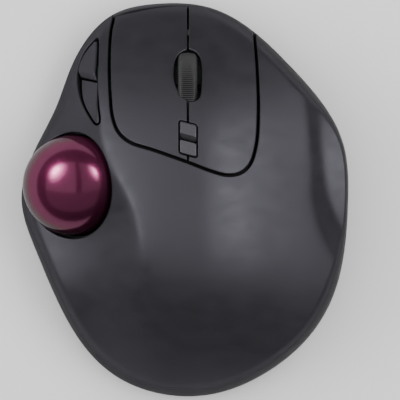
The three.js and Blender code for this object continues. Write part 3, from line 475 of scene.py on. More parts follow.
class Solid:
    """Points and faces of one piece, gathered from closed parts."""

    def __init__(self):
        self.points = []
        self.normals = []
        self.faces = []
        self.count = 0

    def add(self, points, faces, normals=None):
        self.points.append(np.asarray(points, float))
        self.normals.append(np.zeros((len(points), 3)) if normals is None else normals)
        self.faces.extend(tuple(int(i) + self.count for i in face) for face in faces)
        self.count += len(points)
        return self

    def rings(self, rings, closed=False):
        """A skin over rings of points that run anticlockwise seen from the last ring, capped at both ends.

        A closed skin joins the last ring to the first one instead, as a tube wall does.
        """
        size = len(rings[0])
        faces = [] if closed else [tuple(range(size))[::-1]]
        for k in range(len(rings) - (0 if closed else 1)):
            lower, upper = k * size, (k + 1) % len(rings) * size
            for i in range(size):
                j = (i + 1) % size
                faces.append((lower + i, lower + j, upper + j, upper + i))
        if not closed:
            faces.append(tuple((len(rings) - 1) * size + i for i in range(size)))
        return self.add(np.vstack(rings), faces)

    def turned(self, profile, origin, axis, sides, closed=False):
        """A solid of revolution from (radius, height) pairs, the first one lowest on the axis."""
        axis = np.asarray(axis, float) / np.linalg.norm(axis)
        side = np.cross(axis, [0.31, 0.9, 0.27])
        side /= np.linalg.norm(side)
        other = np.cross(axis, side)
        turn = turns(sides)
        ring = np.outer(np.cos(turn), side) + np.outer(np.sin(turn), other)
        return self.rings([origin + axis * h + ring * max(r, 1e-3) for r, h in profile], closed)

    def tube(self, x, y, inner, outer, z0, z1):
        """An upright ring."""
        profile = [(inner, z0), (outer, z0), (outer, z1), (inner, z1)]
        return self.turned(profile, (x, y, 0), (0, 0, 1), 32, closed=True)

    def tub(self, low, high, walls):
        """A box open at the bottom: inner corners, and its wall thickness along x, y and z."""
        low, high, walls = (np.asarray(v, float) for v in (low, high, walls))
        (x, y), (width, length) = (low + high)[:2] / 2, (high - low)[:2]
        inner = slot_loop(x, y, width, length, 0.5, 4)
        outer = slot_loop(x, y, width + 2 * walls[0], length + 2 * walls[1], 1.2, 4)
        top = high[2] + walls[2]
        return self.rings([
            at_height(loop, z)[::-1]
            for loop, z in ((inner, high[2]), (inner, low[2]), (outer, low[2]), (outer, top))
        ])

    def bar(self, start, end, radius):
        """A round bar between two points."""
        start, end = np.asarray(start, float), np.asarray(end, float)
        return self.turned([(radius, 0), (radius, np.linalg.norm(end - start))], start, end - start, 24)

    def block(self, low, high):
        """A box between its lowest and its highest corner."""
        xs, ys, zs = zip(low, high)
        corners = [(x, y, z) for z in zs for y in ys for x in xs]
        faces = [(0, 2, 3, 1), (4, 5, 7, 6), (0, 1, 5, 4), (2, 6, 7, 3), (0, 4, 6, 2), (1, 3, 7, 5)]
        return self.add(corners, faces)

    def piece(self, name, sharp_degrees=40):
        """The Blender object, with its edges sharp past an angle."""
        mesh = bpy.data.meshes.new(name)
        points = np.vstack(self.points) * MM
        mesh.from_pydata(points.tolist(), [], self.faces)
        mesh.validate()
        mesh.polygons.foreach_set("use_smooth", np.ones(len(mesh.polygons), bool))
        mesh.set_sharp_from_angle(angle=math.radians(sharp_degrees))
        normals = np.vstack(self.normals)
        if normals.any() and len(mesh.vertices) == len(normals):
            mesh.normals_split_custom_set_from_vertices(normals.tolist())
        obj = bpy.data.objects.new(name, mesh)
        bpy.context.scene.collection.objects.link(obj)
        return obj


def scattered(loops, spacing, surface):
    """Even points inside the loops, with twice as many each way where the surface bends sharply."""
    low = loops[0].min(0) - spacing
    high = loops[0].max(0) + spacing
    fine = spacing / 2
    rows = np.arange(low[1], high[1], fine * math.sqrt(3) / 2)
    made, coarse = [], []
    for k, y in enumerate(rows):
        x = np.arange(low[0] + (k % 2) * fine / 2, high[0], fine)
        made.append(np.column_stack([x, np.full(len(x), y)]))
        index = np.arange(len(x))
        coarse.append((k % 2 == 0) & ((index + k // 2) % 2 == 0))
    points, coarse = np.vstack(made), np.concatenate(coarse)
    bend = np.zeros(len(points))
    for step in ([spacing / 2, 0], [0, spacing / 2]):
        across = (surface.normal(points + step) * surface.normal(points - step)).sum(1)
        bend = np.maximum(bend, np.degrees(np.arccos(np.clip(across, -1, 1))))
    points = points[coarse | (bend > 4)]
    points = points[inside(loops, points)]
    edge = np.vstack(loops)
    near = np.full(len(points), np.inf)
    for start in range(0, len(edge), 200):
        gap = np.linalg.norm(points[:, None] - edge[None, start:start + 200], axis=2).min(1)
        near = np.minimum(near, gap)
    return points[near > spacing * 0.45]


def panel(surface, loops, spacing=1.0, edge=0.35, depth=WALL, walls=None, edges=None, solid=None):
    """A closed sheet of material on a surface, with rounded edges.

    loops: closed chart loops with the material on their left, the outer one first.
    walls: one function for each loop that turns the points of its wall into where they belong.
    """
    solid = solid or Solid()
    walls = walls or [None] * len(loops)
    edges = edges or [edge] * len(loops)
    flip = surface.sign < 0
    rims = [inset(loop, size) for loop, size in zip(loops, edges)]
    inner = scattered([inset(rim, spacing * 0.5) for rim in rims], spacing, surface)
    support = [inset(rim, spacing * 0.3) for rim in rims]
    chart = np.vstack(rims + support + [inner])
    borders, start = [], 0
    for rim in rims:
        borders += [(start + i, start + (i + 1) % len(rim)) for i in range(len(rim))]
        start += len(rim)
    flat, _, triangles, *_ = delaunay_2d_cdt([Vector(p) for p in chart], borders, [], 0, 1e-5)
    flat = np.array([tuple(p) for p in flat])
    triangles = np.array(triangles)
    centres = flat[triangles].mean(1)
    triangles = triangles[inside(rims, centres)]
    corner = flat[triangles]
    area = np.cross(corner[:, 1] - corner[:, 0], corner[:, 2] - corner[:, 0])
    triangles = np.where((area < 0)[:, None], triangles[:, ::-1], triangles)
    if flip:
        triangles = triangles[:, ::-1]

    top = surface.point(flat)
    normal = surface.outward(flat)
    count = len(flat)
    first = solid.count
    faces = np.vstack([triangles, triangles[:, ::-1] + count])
    solid.add(np.vstack([top, top - normal * depth]), faces, np.vstack([surface.normal(flat), -normal]))

    start = 0
    for loop, rim, wall, edge in zip(loops, rims, walls, edges):
        size = len(rim)
        corner_points = surface.point(loop)
        corner_normal = surface.outward(loop)

        def wall_point(down):
            points = corner_points - corner_normal * down
            return wall(points) if wall else points

        rim_points = top[start:start + size]
        turn = wall_point(edge)
        rings = [
            (1 - t) ** 2 * rim_points + 2 * t * (1 - t) * corner_points + t**2 * turn
            for t in (0.25, 0.5, 0.75)
        ]
        rings += [turn, wall_point(depth)]
        order = np.arange(size)[::-1] if flip else np.arange(size)
        ids = [first + start + order]
        for ring in rings:
            ids.append(solid.count + order)
            solid.add(ring, [])
        ids.append(first + count + start + order)
        for a, b in zip(ids[:-1], ids[1:]):
            solid.faces.extend(np.column_stack([a, b, np.roll(b, -1), np.roll(a, -1)]).tolist())
        start += size
    return solid


def on_socket(points):
    """Pushes points onto the ball socket's sphere."""
    away = points - BALL
    return BALL + away * SOCKET_RADIUS / np.linalg.norm(away, axis=1, keepdims=True)


# ------------ materials


class Nodes:
    """A short way to build one node material."""

    def __init__(self, name):
        self.material = bpy.data.materials.new(name)
        self.material.use_nodes = True
        self.tree = self.material.node_tree
        self.shader = self.tree.nodes["Principled BSDF"]
        self.place = self.tree.nodes.new("ShaderNodeTexCoord").outputs["Object"]

    def set(self, **values):
        """Constants on the shader's own sockets; underscores stand for spaces."""
        for name, value in values.items():
            self.shader.inputs[name.replace("_", " ")].default_value = value
        return self

    def node(self, kind, **values):
        made = self.tree.nodes.new("ShaderNode" + kind)
        for name, value in values.items():
            setattr(made, name, value)
        return made

    def link(self, source, target):
        self.tree.links.new(source, target)

    def noise(self, scale, detail, stretch=(1, 1, 1)):
        mapping = self.node("Mapping")
        mapping.inputs["Scale"].default_value = stretch
        self.link(self.place, mapping.inputs["Vector"])
        made = self.node("TexNoise")
        made.inputs["Scale"].default_value = scale
        made.inputs["Detail"].default_value = detail
        self.link(mapping.outputs["Vector"], made.inputs["Vector"])
        return made.outputs["Fac"]

    def cells(self, scale, feature="F1"):
        made = self.node("TexVoronoi", feature=feature)
        made.inputs["Scale"].default_value = scale
        self.link(self.place, made.inputs["Vector"])
        return made.outputs["Distance"]

    def ranged(self, value, low, high, start, end):
        made = self.node("MapRange")
        made.inputs["From Min"].default_value = start
        made.inputs["From Max"].default_value = end
        made.inputs["To Min"].default_value = low
        made.inputs["To Max"].default_value = high
        self.link(value, made.inputs["Value"])
        return made.outputs["Result"]

    def blend(self, value, first, second):
        """A colour between two, by a value from 0 to 1."""
        made = self.node("Mix", data_type="RGBA")
        made.inputs["A"].default_value = (*first, 1)
        made.inputs["B"].default_value = (*second, 1)
        self.link(value, made.inputs["Factor"])
        return made.outputs["Result"]

    def colour(self, value, first, second):
        self.link(self.blend(value, first, second), self.shader.inputs["Base Color"])
        return self

    def rough(self, value, low, high):
        self.link(self.ranged(value, low, high, 0.3, 0.7), self.shader.inputs["Roughness"])
        return self

    def bump(self, value, height):
        made = self.node("Bump")
        made.inputs["Distance"].default_value = height * MM
        previous = self.shader.inputs["Normal"].links
        if previous:
            self.link(previous[0].from_socket, made.inputs["Normal"])
        self.link(value, made.inputs["Height"])
        self.link(made.outputs["Normal"], self.shader.inputs["Normal"])
        return self


def shades(colour, spread):
    """Two colours a little darker and lighter than one."""
    return tuple(c * (1 - spread) for c in colour), tuple(c * (1 + spread) for c in colour)


def moulded(name, colour, roughness, grain=0.006, grain_scale=9000, spread=0.08, specular=0.5, **extra):
    """Moulded plastic: a fine spark-eroded grain, faint flow marks and uneven gloss."""
    made = Nodes(name).set(Specular_IOR_Level=specular, **extra)
    flow = made.noise(60, 4, (1, 0.4, 1))
    made.colour(flow, *shades(colour, spread))
    made.rough(made.noise(240, 5), roughness - 0.04, roughness + 0.05)
    made.bump(made.noise(grain_scale, 2), grain)
    return made.material


def shell_material(name, colour, roughness):
    """Charcoal satin plastic with a very fine texture and faint handling marks.

    It is plastic: the metallic share and black edge tint only keep the pale floor out of its rims.
    """
    made = Nodes(name).set(Specular_IOR_Level=0.42, Specular_Tint=(0, 0, 0, 1), Metallic=0.7)
    made.colour(made.noise(45, 4), *shades(colour, 0.07))
    wear = made.noise(130, 6, (1, 1.6, 1))
    made.rough(wear, roughness - 0.05, roughness + 0.06)
    made.bump(made.cells(3800), 0.006)
    made.bump(made.noise(11000, 2), 0.004)
    return made.material


def ball_material():
    """Polished resin: deep maroon with fine pearl flakes under a clear skin."""
    made = Nodes("ball_pearl").set(
        Specular_IOR_Level=0.2, Specular_Tint=(0, 0, 0, 1), Metallic=0.8,
        Coat_Weight=0.4, Coat_Roughness=0.08, Coat_IOR=1.45,
    )
    cloud = made.noise(130, 4)
    sparkle = made.ranged(made.cells(5200), 0.6, 0.0, 0.0, 0.5)
    deep = made.blend(cloud, (0.098, 0.013, 0.045), (0.118, 0.018, 0.055))
    lit = made.node("Mix", data_type="RGBA")
    made.link(sparkle, lit.inputs["Factor"])
    made.link(deep, lit.inputs["A"])
    lit.inputs["B"].default_value = (0.20, 0.04, 0.10, 1)
    made.link(lit.outputs["Result"], made.shader.inputs["Base Color"])
    made.rough(made.noise(900, 3), 0.2, 0.26)
    return made.material


def rubber(name, colour):
    made = Nodes(name).set(Specular_IOR_Level=0.5)
    made.colour(made.noise(300, 5), *shades(colour, 0.2))
    made.rough(made.noise(700, 4), 0.42, 0.56)
    made.bump(made.noise(5000, 4), 0.02)
    return made.material


def plated(name, colour, roughness):
    """Nickel-plated steel with fine rolling lines."""
    made = Nodes(name).set(Metallic=1.0)
    made.colour(made.noise(120, 4), *shades(colour, 0.06))
    made.rough(made.noise(600, 4, (1, 12, 1)), roughness - 0.07, roughness + 0.1)
    made.bump(made.noise(1500, 3, (1, 25, 1)), 0.004)
    return made.material


def board_material():
    """Green solder mask over faint copper runs, with a woven glass base under it."""
    made = Nodes("board_mask").set(Specular_IOR_Level=0.5, Coat_Weight=0.3, Coat_Roughness=0.25)
    runs = made.ranged(made.cells(420, feature="DISTANCE_TO_EDGE"), 1.0, 0.0, 0.02, 0.06)
    made.colour(runs, (0.010, 0.072, 0.030), (0.018, 0.125, 0.048))
    made.rough(made.noise(800, 3), 0.3, 0.42)
    made.bump(runs, 0.03)
    made.bump(made.noise(3000, 2), 0.006)
    return made.material


def glossy_button_material():
    """Dark grey gloss plastic, polished by fingers in places."""
    made = Nodes("resolution_grey").set(
        Specular_IOR_Level=0.5, Specular_Tint=(0, 0, 0, 1), Metallic=0.6,
        Coat_Weight=0.2, Coat_Roughness=0.12,
    )
    made.colour(made.noise(200, 4), (0.066, 0.064, 0.073), (0.080, 0.078, 0.088))
    made.rough(made.noise(500, 4), 0.24, 0.36)
    made.bump(made.noise(8000, 2), 0.003)
    return made.material


def cell_material():
    """A plain shrink sleeve with faint wrinkles and metal ends."""
    made = Nodes("cell_sleeve").set(Specular_IOR_Level=0.5, Coat_Weight=0.5, Coat_Roughness=0.1)
    low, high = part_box("battery_cell")
    axes = made.node("SeparateXYZ")
    made.link(made.place, axes.inputs["Vector"])
    end = made.ranged(axes.outputs["X"], 0.0, 1.0, high.x - 0.0016, high.x - 0.0013)
    start = made.ranged(axes.outputs["X"], 1.0, 0.0, low.x + 0.0003, low.x + 0.0006)
    bare = made.node("Math", operation="MAXIMUM")
    made.link(end, bare.inputs[0])
    made.link(start, bare.inputs[1])
    made.link(
        made.blend(bare.outputs["Value"], (0.035, 0.12, 0.3), (0.5, 0.5, 0.52)),
        made.shader.inputs["Base Color"],
    )
    made.link(bare.outputs["Value"], made.shader.inputs["Metallic"])
    made.rough(made.noise(300, 4), 0.25, 0.36)
    made.bump(made.noise(500, 3, (0.15, 1, 1)), 0.02)
    return made.material


def clear_material():
    made = Nodes("lens_clear").set(IOR=1.49, Transmission_Weight=0.9, Specular_IOR_Level=0.5)
    made.colour(made.noise(300, 3), (0.78, 0.83, 0.86), (0.86, 0.9, 0.92))
    made.rough(made.noise(900, 3), 0.03, 0.08)
    made.bump(made.noise(900, 2), 0.002)
    return made.material


SATIN = (0.0560, 0.0542, 0.0630)
SHELL = shell_material("shell_charcoal", SATIN, 0.38)
BUTTON = shell_material("button_charcoal", SATIN, 0.37)
UNDER = moulded("underside_charcoal", (0.0264, 0.02552, 0.03135), 0.5, grain=0.02, grain_scale=3200)
# Near black, darker than this plastic really is: painted shade for the seams, wheel slot and ball socket
# that look down onto the inner parts.
INNER_SHADE_BLACK = moulded("inner_black", (0.004, 0.004, 0.0045), 0.6, specular=0.25)
TYRE = rubber("tyre_rubber", (0.014, 0.014, 0.0155))
PAD = rubber("foot_pad", (0.055, 0.055, 0.06))
GREY = glossy_button_material()
BALL_PEARL = ball_material()
ACETAL = moulded("acetal_white", (0.62, 0.59, 0.52), 0.42, Subsurface_Weight=0.15)
CERAMIC = moulded("ceramic_white", (0.8, 0.78, 0.74), 0.12, grain=0.001, spread=0.03)
EPOXY = moulded("epoxy_black", (0.012, 0.012, 0.013), 0.5, grain=0.012, grain_scale=4200)
BOARD = board_material()
STEEL = plated("nickel_steel", (0.55, 0.55, 0.56), 0.28)
GOLD = plated("contact_gold", (0.72, 0.5, 0.22), 0.3)
CELL = cell_material()
CLEAR = clear_material()
SLIDER = moulded("slider_red", (0.30, 0.024, 0.02), 0.45)
FOIL = moulded("label_foil", (0.24, 0.245, 0.25), 0.42, grain=0.01, grain_scale=1800, Metallic=0.3)

BY_SLOT = {
    "shell": SHELL, "button": BUTTON, "inner_black": INNER_SHADE_BLACK, "tyre": TYRE, "natural_white": ACETAL,
    "grey_gloss": GREY, "ball": BALL_PEARL, "ceramic": CERAMIC, "clear": CLEAR, "chip": EPOXY,
    "board": BOARD, "steel": STEEL, "cell": CELL, "slider": SLIDER, "foot": PAD, "label": FOIL,
}
SLOT_OF = {row["node"]: row["material_slot"] for row in frame["record"]["subparts"]}
BODY_OF = {
    node: body for body, nodes in frame["record"]["behaviour"]["bodies"].items() for node in nodes
}


def dress(obj, node, material=None):
    """Puts a visual piece in place of a CAD node: its body, its slot and its material."""
    obj.data.materials.clear()
    obj.data.materials.append(material or BY_SLOT[SLOT_OF[node]])
    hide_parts(node)
    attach(obj, BODY_OF[node])
    return obj


# ------------ loops of the panels


def cut_at_edge(curve, height):
    """The stretch of a chart curve inside the top's edge, with its exact ends."""
    angle = angle_of(curve)
    spare = np.linalg.norm(TOP.edge(angle, height), axis=1) - np.linalg.norm(curve, axis=1)
    kept = np.flatnonzero(spare > 0)
    ends = [
        curve[i] + (curve[j] - curve[i]) * spare[i] / (spare[i] - spare[j])
        for i, j in ((kept[0], kept[0] - 1), (kept[-1], kept[-1] + 1))
    ]
    return np.vstack([ends[:1], curve[kept], ends[1:]])


def edge_run(start, end, height):
    """Chart points anticlockwise along the top's edge between two chart points."""
    first = math.atan2(start[1], start[0])
    last = math.atan2(end[1], end[0])
    while last <= first:
        last += 2 * math.pi
    angles = np.linspace(first, last, max(4, int((last - first) / 0.008)))[1:-1]
    return TOP.edge(angles, height)


def clipped(loop, point, normal):
    """The part of a closed loop on the side of a line that its normal points to."""
    reach = (loop - point) @ np.asarray(normal, float)
    made = []
    for i in range(len(loop)):
        j = (i + 1) % len(loop)
        if reach[i] >= 0:
            made.append(loop[i])
        if (reach[i] >= 0) != (reach[j] >= 0):
            made.append(loop[i] + (loop[j] - loop[i]) * reach[i] / (reach[i] - reach[j]))
    return np.array(made)


def half_slot(loop, x, side):
    """The half of an opening on one side of an upright line, from its rear to its front."""
    beyond = side * (loop[:, 0] - x) > 0
    start = int(np.flatnonzero(beyond & ~np.roll(beyond, 1))[0])
    turned = np.roll(loop, -start, 0)
    size = int(beyond.sum())
    run = turned[:size]
    for inner, outer, front in ((turned[0], turned[-1], False), (turned[size - 1], turned[size], True)):
        cross = inner + (outer - inner) * (x - inner[0]) / (outer[0] - inner[0])
        run = np.vstack([run, cross]) if front else np.vstack([cross, run])
    return run[::-1] if run[0, 1] > run[-1, 1] else run


def sheared(loop, middle, shear):
    return loop + np.column_stack([np.zeros(len(loop)), (loop[:, 0] - middle) * shear])


wheel_slot = smooth_curve(WHEEL_SLOT, True, 8)
resolution_slot = sheared(
    slot_loop(*RESOLUTION, *RESOLUTION_SLOT, 0.9), RESOLUTION[0], RESOLUTION_SHEAR
)
seam = smooth_curve(PLATE_SEAM, False, 24)
side_buttons = smooth_curve(SIDE_BUTTONS, True, 16)


def plate_loop(side):
    """The chart loop of one click plate: -1 for the left one, 1 for the right one."""
    x = CENTRE_X + side * CENTRE_GAP / 2
    border = inset(seam[::-1], PLATE_GAP)
    rear = border[(border[:, 1] < 70) & (side * (border[:, 0] - x) > 0)]
    behind = rear[-1, 1] if side < 0 else rear[0, 1]
    centre = np.vstack([
        [[x, behind]], half_slot(resolution_slot, x, side), half_slot(wheel_slot, x, side), [[x, 75]],
    ])
    centre = resampled(centre, 0.5, closed=False)
    whole = np.vstack([rear, centre]) if side < 0 else np.vstack([centre[::-1], rear])
    whole = cut_at_edge(TOP.chart(densified(whole)), PLATE_LIFT)
    return resampled(np.vstack([whole, edge_run(whole[-1], whole[0], PLATE_LIFT)]), 0.7)


def densified(points, spacing=0.25):
    """An open polyline with extra points, so that it bends with the chart."""
    made = []
    for a, b in zip(points[:-1], points[1:]):
        count = max(1, int(np.linalg.norm(b - a) / spacing))
        made.append(a + (b - a) * (np.arange(count) / count)[:, None])
    return np.vstack(made + [points[-1:]])


def charted(surface, loop, spacing):
    """The even chart loop of a closed plan loop."""
    return resampled(surface.chart(densified(np.vstack([loop, loop[:1]])))[:-1], spacing)


def socket_loop():
    """Where the ball's socket comes out through the top."""
    middle = np.array([-38.0, 5.0])
    rays = polar(1, -turns(110))
    low, high = np.zeros(len(rays)), np.full(len(rays), 26.0)
    for _ in range(40):
        trial = (low + high) / 2
        away = np.linalg.norm(TOP.point(middle + rays * trial[:, None]) - BALL, axis=1)
        low = np.where(away < SOCKET_RADIUS, trial, low)
        high = np.where(away < SOCKET_RADIUS, high, trial)
    return resampled(middle + rays * low[:, None], 0.8)


# ------------ casings and click plates


def post_top(x, y, radius):
    """A height just inside the top's wall all round a post."""
    around = TOP.point(TOP.chart(circle_loop(x, y, radius, 12)))
    return around[:, 2].min() - 0.6


def top_shell():
    border = cut_at_edge(TOP.chart(densified(seam)), SEAM_GAP / 2)
    outer = resampled(np.vstack([border, edge_run(border[-1], border[0], SEAM_GAP / 2)]), 0.8)
    crescent = resampled(TOP.chart(side_buttons)[::-1], 0.6)
    solid = panel(
        TOP, [outer, crescent, socket_loop()], spacing=1.25, edges=[0.35, 0.3, 0.7],
        walls=[None, None, on_socket],
    )
    for x, y in SCREWS:
        solid.tube(x, y, 1.35, 3, 8.3, post_top(x, y, 3))
    return dress(solid.piece("top_shell_skin"), "top_shell")


def click_plate(side):
    solid = panel(TOP, [plate_loop(side)], spacing=1.1, edge=0.4, depth=1.8)
    x = -17 if side < 0 else 16.5
    post = slot_loop(x, 50, 3, 2.4, 0.4, 3)
    solid.rings([at_height(post, z) for z in (18.2, post_top(x, 50, 2))])
    name = "left_button" if side < 0 else "right_button"
    return dress(solid.piece(name + "_plate"), name)


def base_shell():
    outer = resampled(BASE.edge(turns(420), SEAM_GAP / 2), 1.0)
    bay = slot_loop(*BATTERY[:2], 54.4, 16, 1.0, 4)
    pocket = [[24.4, -14.8], [28, -14.8], [28, -18.4], [34, -18.4], [34, -14.8], [37.6, -14.8],
              [37.6, -9.2], [34, -9.2], [34, -5.6], [28, -5.6], [28, -9.2], [24.4, -9.2]]
    slider = slot_loop(POWER[0], 12, 5.2, 10.8, 0.6, 4)
    eject = circle_loop(BALL[0], BALL[1], EJECT_RADIUS, 56)
    recesses = [circle_loop(x, y, 2.6, 28) for x, y in SCREWS]
    holes = [bay, np.array(pocket), slider, eject, *recesses]
    loops = [outer] + [charted(BASE, hole, 0.7)[::-1] for hole in holes]
    solid = panel(BASE, loops, spacing=1.5, edges=[0.35] + [0.25] * len(holes))
    solid.tub((-21, -42, 1.6), (33.4, -26, 19), (1.2, 1.2, 1.2))
    solid.tub((24.4, -14.8, 2.4), (37.6, -9.2, 20.4), (1.6, 1.6, 1.2))
    for x, y in SCREWS:
        solid.tube(x, y, 2.6, 4, 2.6, 3.4)
        solid.tube(x, y, 1.35, 4, 3.4, 8)
    for x, y in ((-20.4, 28), (19, 29), (-4, -16), (16, -16)):
        solid.bar((x, y, 2), (x, y, 9), 2)
    return dress(solid.piece("base_shell_skin"), "base_shell", UNDER)


top_shell()
click_plate(-1)
click_plate(1)
base_shell()

# ------------ side buttons and resolution buttons

split_along = (SIDE_SPLIT[1] - SIDE_SPLIT[0]) / np.linalg.norm(SIDE_SPLIT[1] - SIDE_SPLIT[0])
split_ahead = np.array([-split_along[1], split_along[0]])


def ahead_of_split(plan):
    return (plan - SIDE_SPLIT[0]) @ split_ahead


def forward_lift(plan):
    """Rises towards the split, then drops over a short ramp that faces back."""
    ahead = ahead_of_split(plan)
    return smooth_min(0.1 + 0.6 * ramp(11, 2, ahead), -1.1 + 0.85 * ahead, 0.05)


def back_lift(plan):
    """Dips towards the split."""
    return -1.2 * ramp(-10, 0, ahead_of_split(plan))


def side_button(name, side, lift, stem_up, stem_y):
    loop = clipped(
        inset(side_buttons, SIDE_GAP), SIDE_SPLIT[0] + split_ahead * side * SIDE_SPLIT_GAP / 2,
        split_ahead * side,
    )
    loop = clipped(loop, np.array([0, FORWARD_TIP_Y]), np.array([0, -1]))
    chart = charted(TOP, loop, 0.45)
    solid = panel(Lifted(TOP, lift), [chart], spacing=0.9, edge=0.35, depth=1.3)
    turn = math.radians(-50)
    across = np.array([math.cos(turn), 0, -math.sin(turn)])
    out = np.array([math.sin(turn), 0, math.cos(turn)])
    foot = np.array([-28.4, stem_y, 14.2]) + across * stem_up + out * 4.6
    reach = 0
    while reach < 16:
        tip = foot + out * (reach + 0.2)
        if tip[2] > TOP.point(TOP.chart(tip[None, :2]))[0, 2] - 1.6:
            break
        reach += 0.2
    solid.bar(foot, foot + out * reach, 1.3)
    return dress(solid.piece(name + "_cap"), name)


def resolution_lift(plan):
    """A little proud, with a V valley between the two buttons; its front slope is the longer one."""
    y = plan[:, 1] - RESOLUTION_SHEAR * (plan[:, 0] - RESOLUTION[0]) - VALLEY_Y
    front = -1.9 + 1.3 * y
    rear = -1.9 - 3 * y
    return np.minimum(0.25, np.maximum(front, rear))


def resolution_button(name, side):
    middle = VALLEY_Y + side * 0.22
    reach = RESOLUTION[1] + side * 5.4
    loop = sheared(
        slot_loop(RESOLUTION[0], (middle + reach) / 2, 5.7, abs(reach - middle), 0.7, 6),
        RESOLUTION[0], RESOLUTION_SHEAR,
    )
    chart = resampled(TOP.chart(loop), 0.35)
    solid = panel(Lifted(TOP, resolution_lift), [chart], spacing=0.4, edge=0.55, depth=1.6)
    y = RESOLUTION[1] + side * 3
    solid.bar((CENTRE_X, y, 38.5), (CENTRE_X, y, post_top(CENTRE_X, y, 1.4) - 0.8), 1.4)
    return dress(solid.piece(name + "_cap"), name)


side_button("forward_button", 1, forward_lift, 1, 48)
side_button("back_button", -1, back_lift, 7, 34.5)
resolution_button("resolution_up_button", 1)
resolution_button("resolution_down_button", -1)

# ------------ wheel and ball

RIBS = 106
RIB_STEPS = 6


def wheel_tyre():
    """A rubber tyre: fine ribs across the middle and smooth rounded shoulders."""
    turn = turns(RIBS * RIB_STEPS)
    groove = 0.34 * np.sin(turn * RIBS / 2) ** 4
    shoulder = [
        (3.3, 9.7, 0), (3.3, 10.1, 0), (3.22, 10.6, 0), (2.95, 11.15, 0), (2.6, 11.52, 0),
        (2.35, 11.68, 0.15), (2.2, 11.76, 0.8), (1.4, 11.93, 1),
    ]
    profile = [(-x, *rest) for x, *rest in shoulder] + [(0, WHEEL_RADIUS, 1)] + shoulder[::-1]
    rings = []
    for x, radius, ribbed in profile:
        r = radius - groove * ribbed
        rings.append(np.column_stack([
            np.full(len(turn), WHEEL[0] + x), WHEEL[1] + r * np.cos(turn), WHEEL[2] + r * np.sin(turn),
        ]))
    solid = Solid().rings(rings, closed=True)
    return dress(solid.piece("wheel_tyre_ribbed", 60), "wheel_tyre")


def wheel_hub():
    """A dished hub with a boss, a rolled rim and its axle."""
    profile = [
        (0.0, -12.8), (1.1, -12.8), (1.2, -12.6), (1.2, -3.1), (2.9, -3.0), (3.1, -2.8), (3.1, -1.7),
        (7.9, -1.7), (8.1, -1.9), (8.1, -3.1), (8.3, -3.3), (9.6, -3.3), (9.6, 3.3), (8.3, 3.3),
        (8.1, 3.1), (8.1, 1.9), (7.9, 1.7), (3.1, 1.7), (3.1, 2.8), (2.9, 3.0), (1.2, 3.1), (1.2, 9.0),
        (1.1, 9.2), (0.0, 9.2),
    ]
    solid = Solid().turned(profile, WHEEL, (1, 0, 0), 64)
    return dress(solid.piece("wheel_hub_dished", 30), "wheel_hub")


def trackball():
    steps = 72
    angles = np.linspace(-math.pi / 2, math.pi / 2, steps + 1)
    profile = [(BALL_RADIUS * math.cos(a), BALL_RADIUS * math.sin(a)) for a in angles]
    solid = Solid().turned(profile, BALL, (0.2, 0.1, 1), 144)
    return dress(solid.piece("trackball_pearl", 80), "trackball")


wheel_tyre()
wheel_hub()
BALL_PIECE = trackball()

# ------------ underside pieces


def cover_lift(plan):
    """A finger recess near the cover's front edge, and two raised grip lines in it."""
    away = np.hypot(np.maximum(0, np.abs(plan[:, 0] - BATTERY[0]) - 4.6), plan[:, 1] + 29.4)
    grips = 0.25 * np.exp(-(((np.abs(plan[:, 1] + 29.4) - 0.55) / 0.22) ** 2))
    dish = ramp(1.9, 1.1, away)
    return -0.7 * dish + grips * dish


def battery_cover():
    solid = panel(
        Lifted(FlatSurface(1, -1), cover_lift),
        [resampled(slot_loop(*BATTERY[:2], 53.6, 15.2, 0.8, 4), 0.8)], spacing=1.0, edge=0.25, depth=1.6,
    )
    return dress(solid.piece("battery_cover_door"), "battery_cover", UNDER)


def foot(name, x, y, width, length):
    loop = resampled(slot_loop(x, y, width, length, min(width, length) / 2 - 0.01, 14), 0.5)
    solid = panel(FlatSurface(0, -1), [loop], spacing=1.2, edge=0.3, depth=1.0)
    return dress(solid.piece(name + "_pad"), name)


def label():
    loop = resampled(slot_loop(2, -6, 36, 20, 1.5, 8), 0.8)
    solid = panel(FlatSurface(0.8, -1), [loop], spacing=2.5, edge=0.06, depth=0.2)
    return dress(solid.piece("label_blank"), "label_plate")


def knob_lift(plan):
    return 0.22 * np.maximum(0, np.cos((plan[:, 1] - POWER[1]) * 2 * math.pi / 1.1)) ** 2 - 0.22


def power_knob():
    loop = resampled(slot_loop(*POWER, 4.4, 4.4, 0.5, 4), 0.3)
    solid = panel(Lifted(FlatSurface(1.3, -1), knob_lift), [loop], spacing=0.35, edge=0.25, depth=1.5)
    solid.block((34.8, 9.3, 2.5), (37.2, 11.7, 4.2))
    return dress(solid.piece("power_knob_ridged"), "power_switch_knob")


def case_screw(index, x, y):
    """A pan-head screw: a domed head with a hexagonal recess, and a shank."""
    sides = 36
    sector = (turns(sides) + math.pi / 6) % (math.pi / 3) - math.pi / 6
    hexagon = 0.8 * math.cos(math.pi / 6) / np.cos(sector)

    def ring(radius, z):
        return at_height(circle_loop(x, y, radius, sides), z)

    rings = [ring(hexagon * 0.6, 2.3), ring(hexagon, 2.15), ring(hexagon, 1.46), ring(hexagon + 0.07, 1.4)]
    rings += [ring(r, z) for r, z in ((1.7, 1.4), (1.95, 1.47), (2.1, 1.7), (2.1, 2.6), (1.1, 3.2))]
    for thread in range(14):
        z = 3.3 + thread * 0.65
        rings += [ring(1.1, z), ring(1.1, z + 0.25), ring(0.9, z + 0.42)]
    rings += [ring(1.0, 12.5), ring(0.4, 13.0)]
    name = f"case_screw_{index}"
    return dress(Solid().rings(rings).piece(name + "_pan", 30), name)


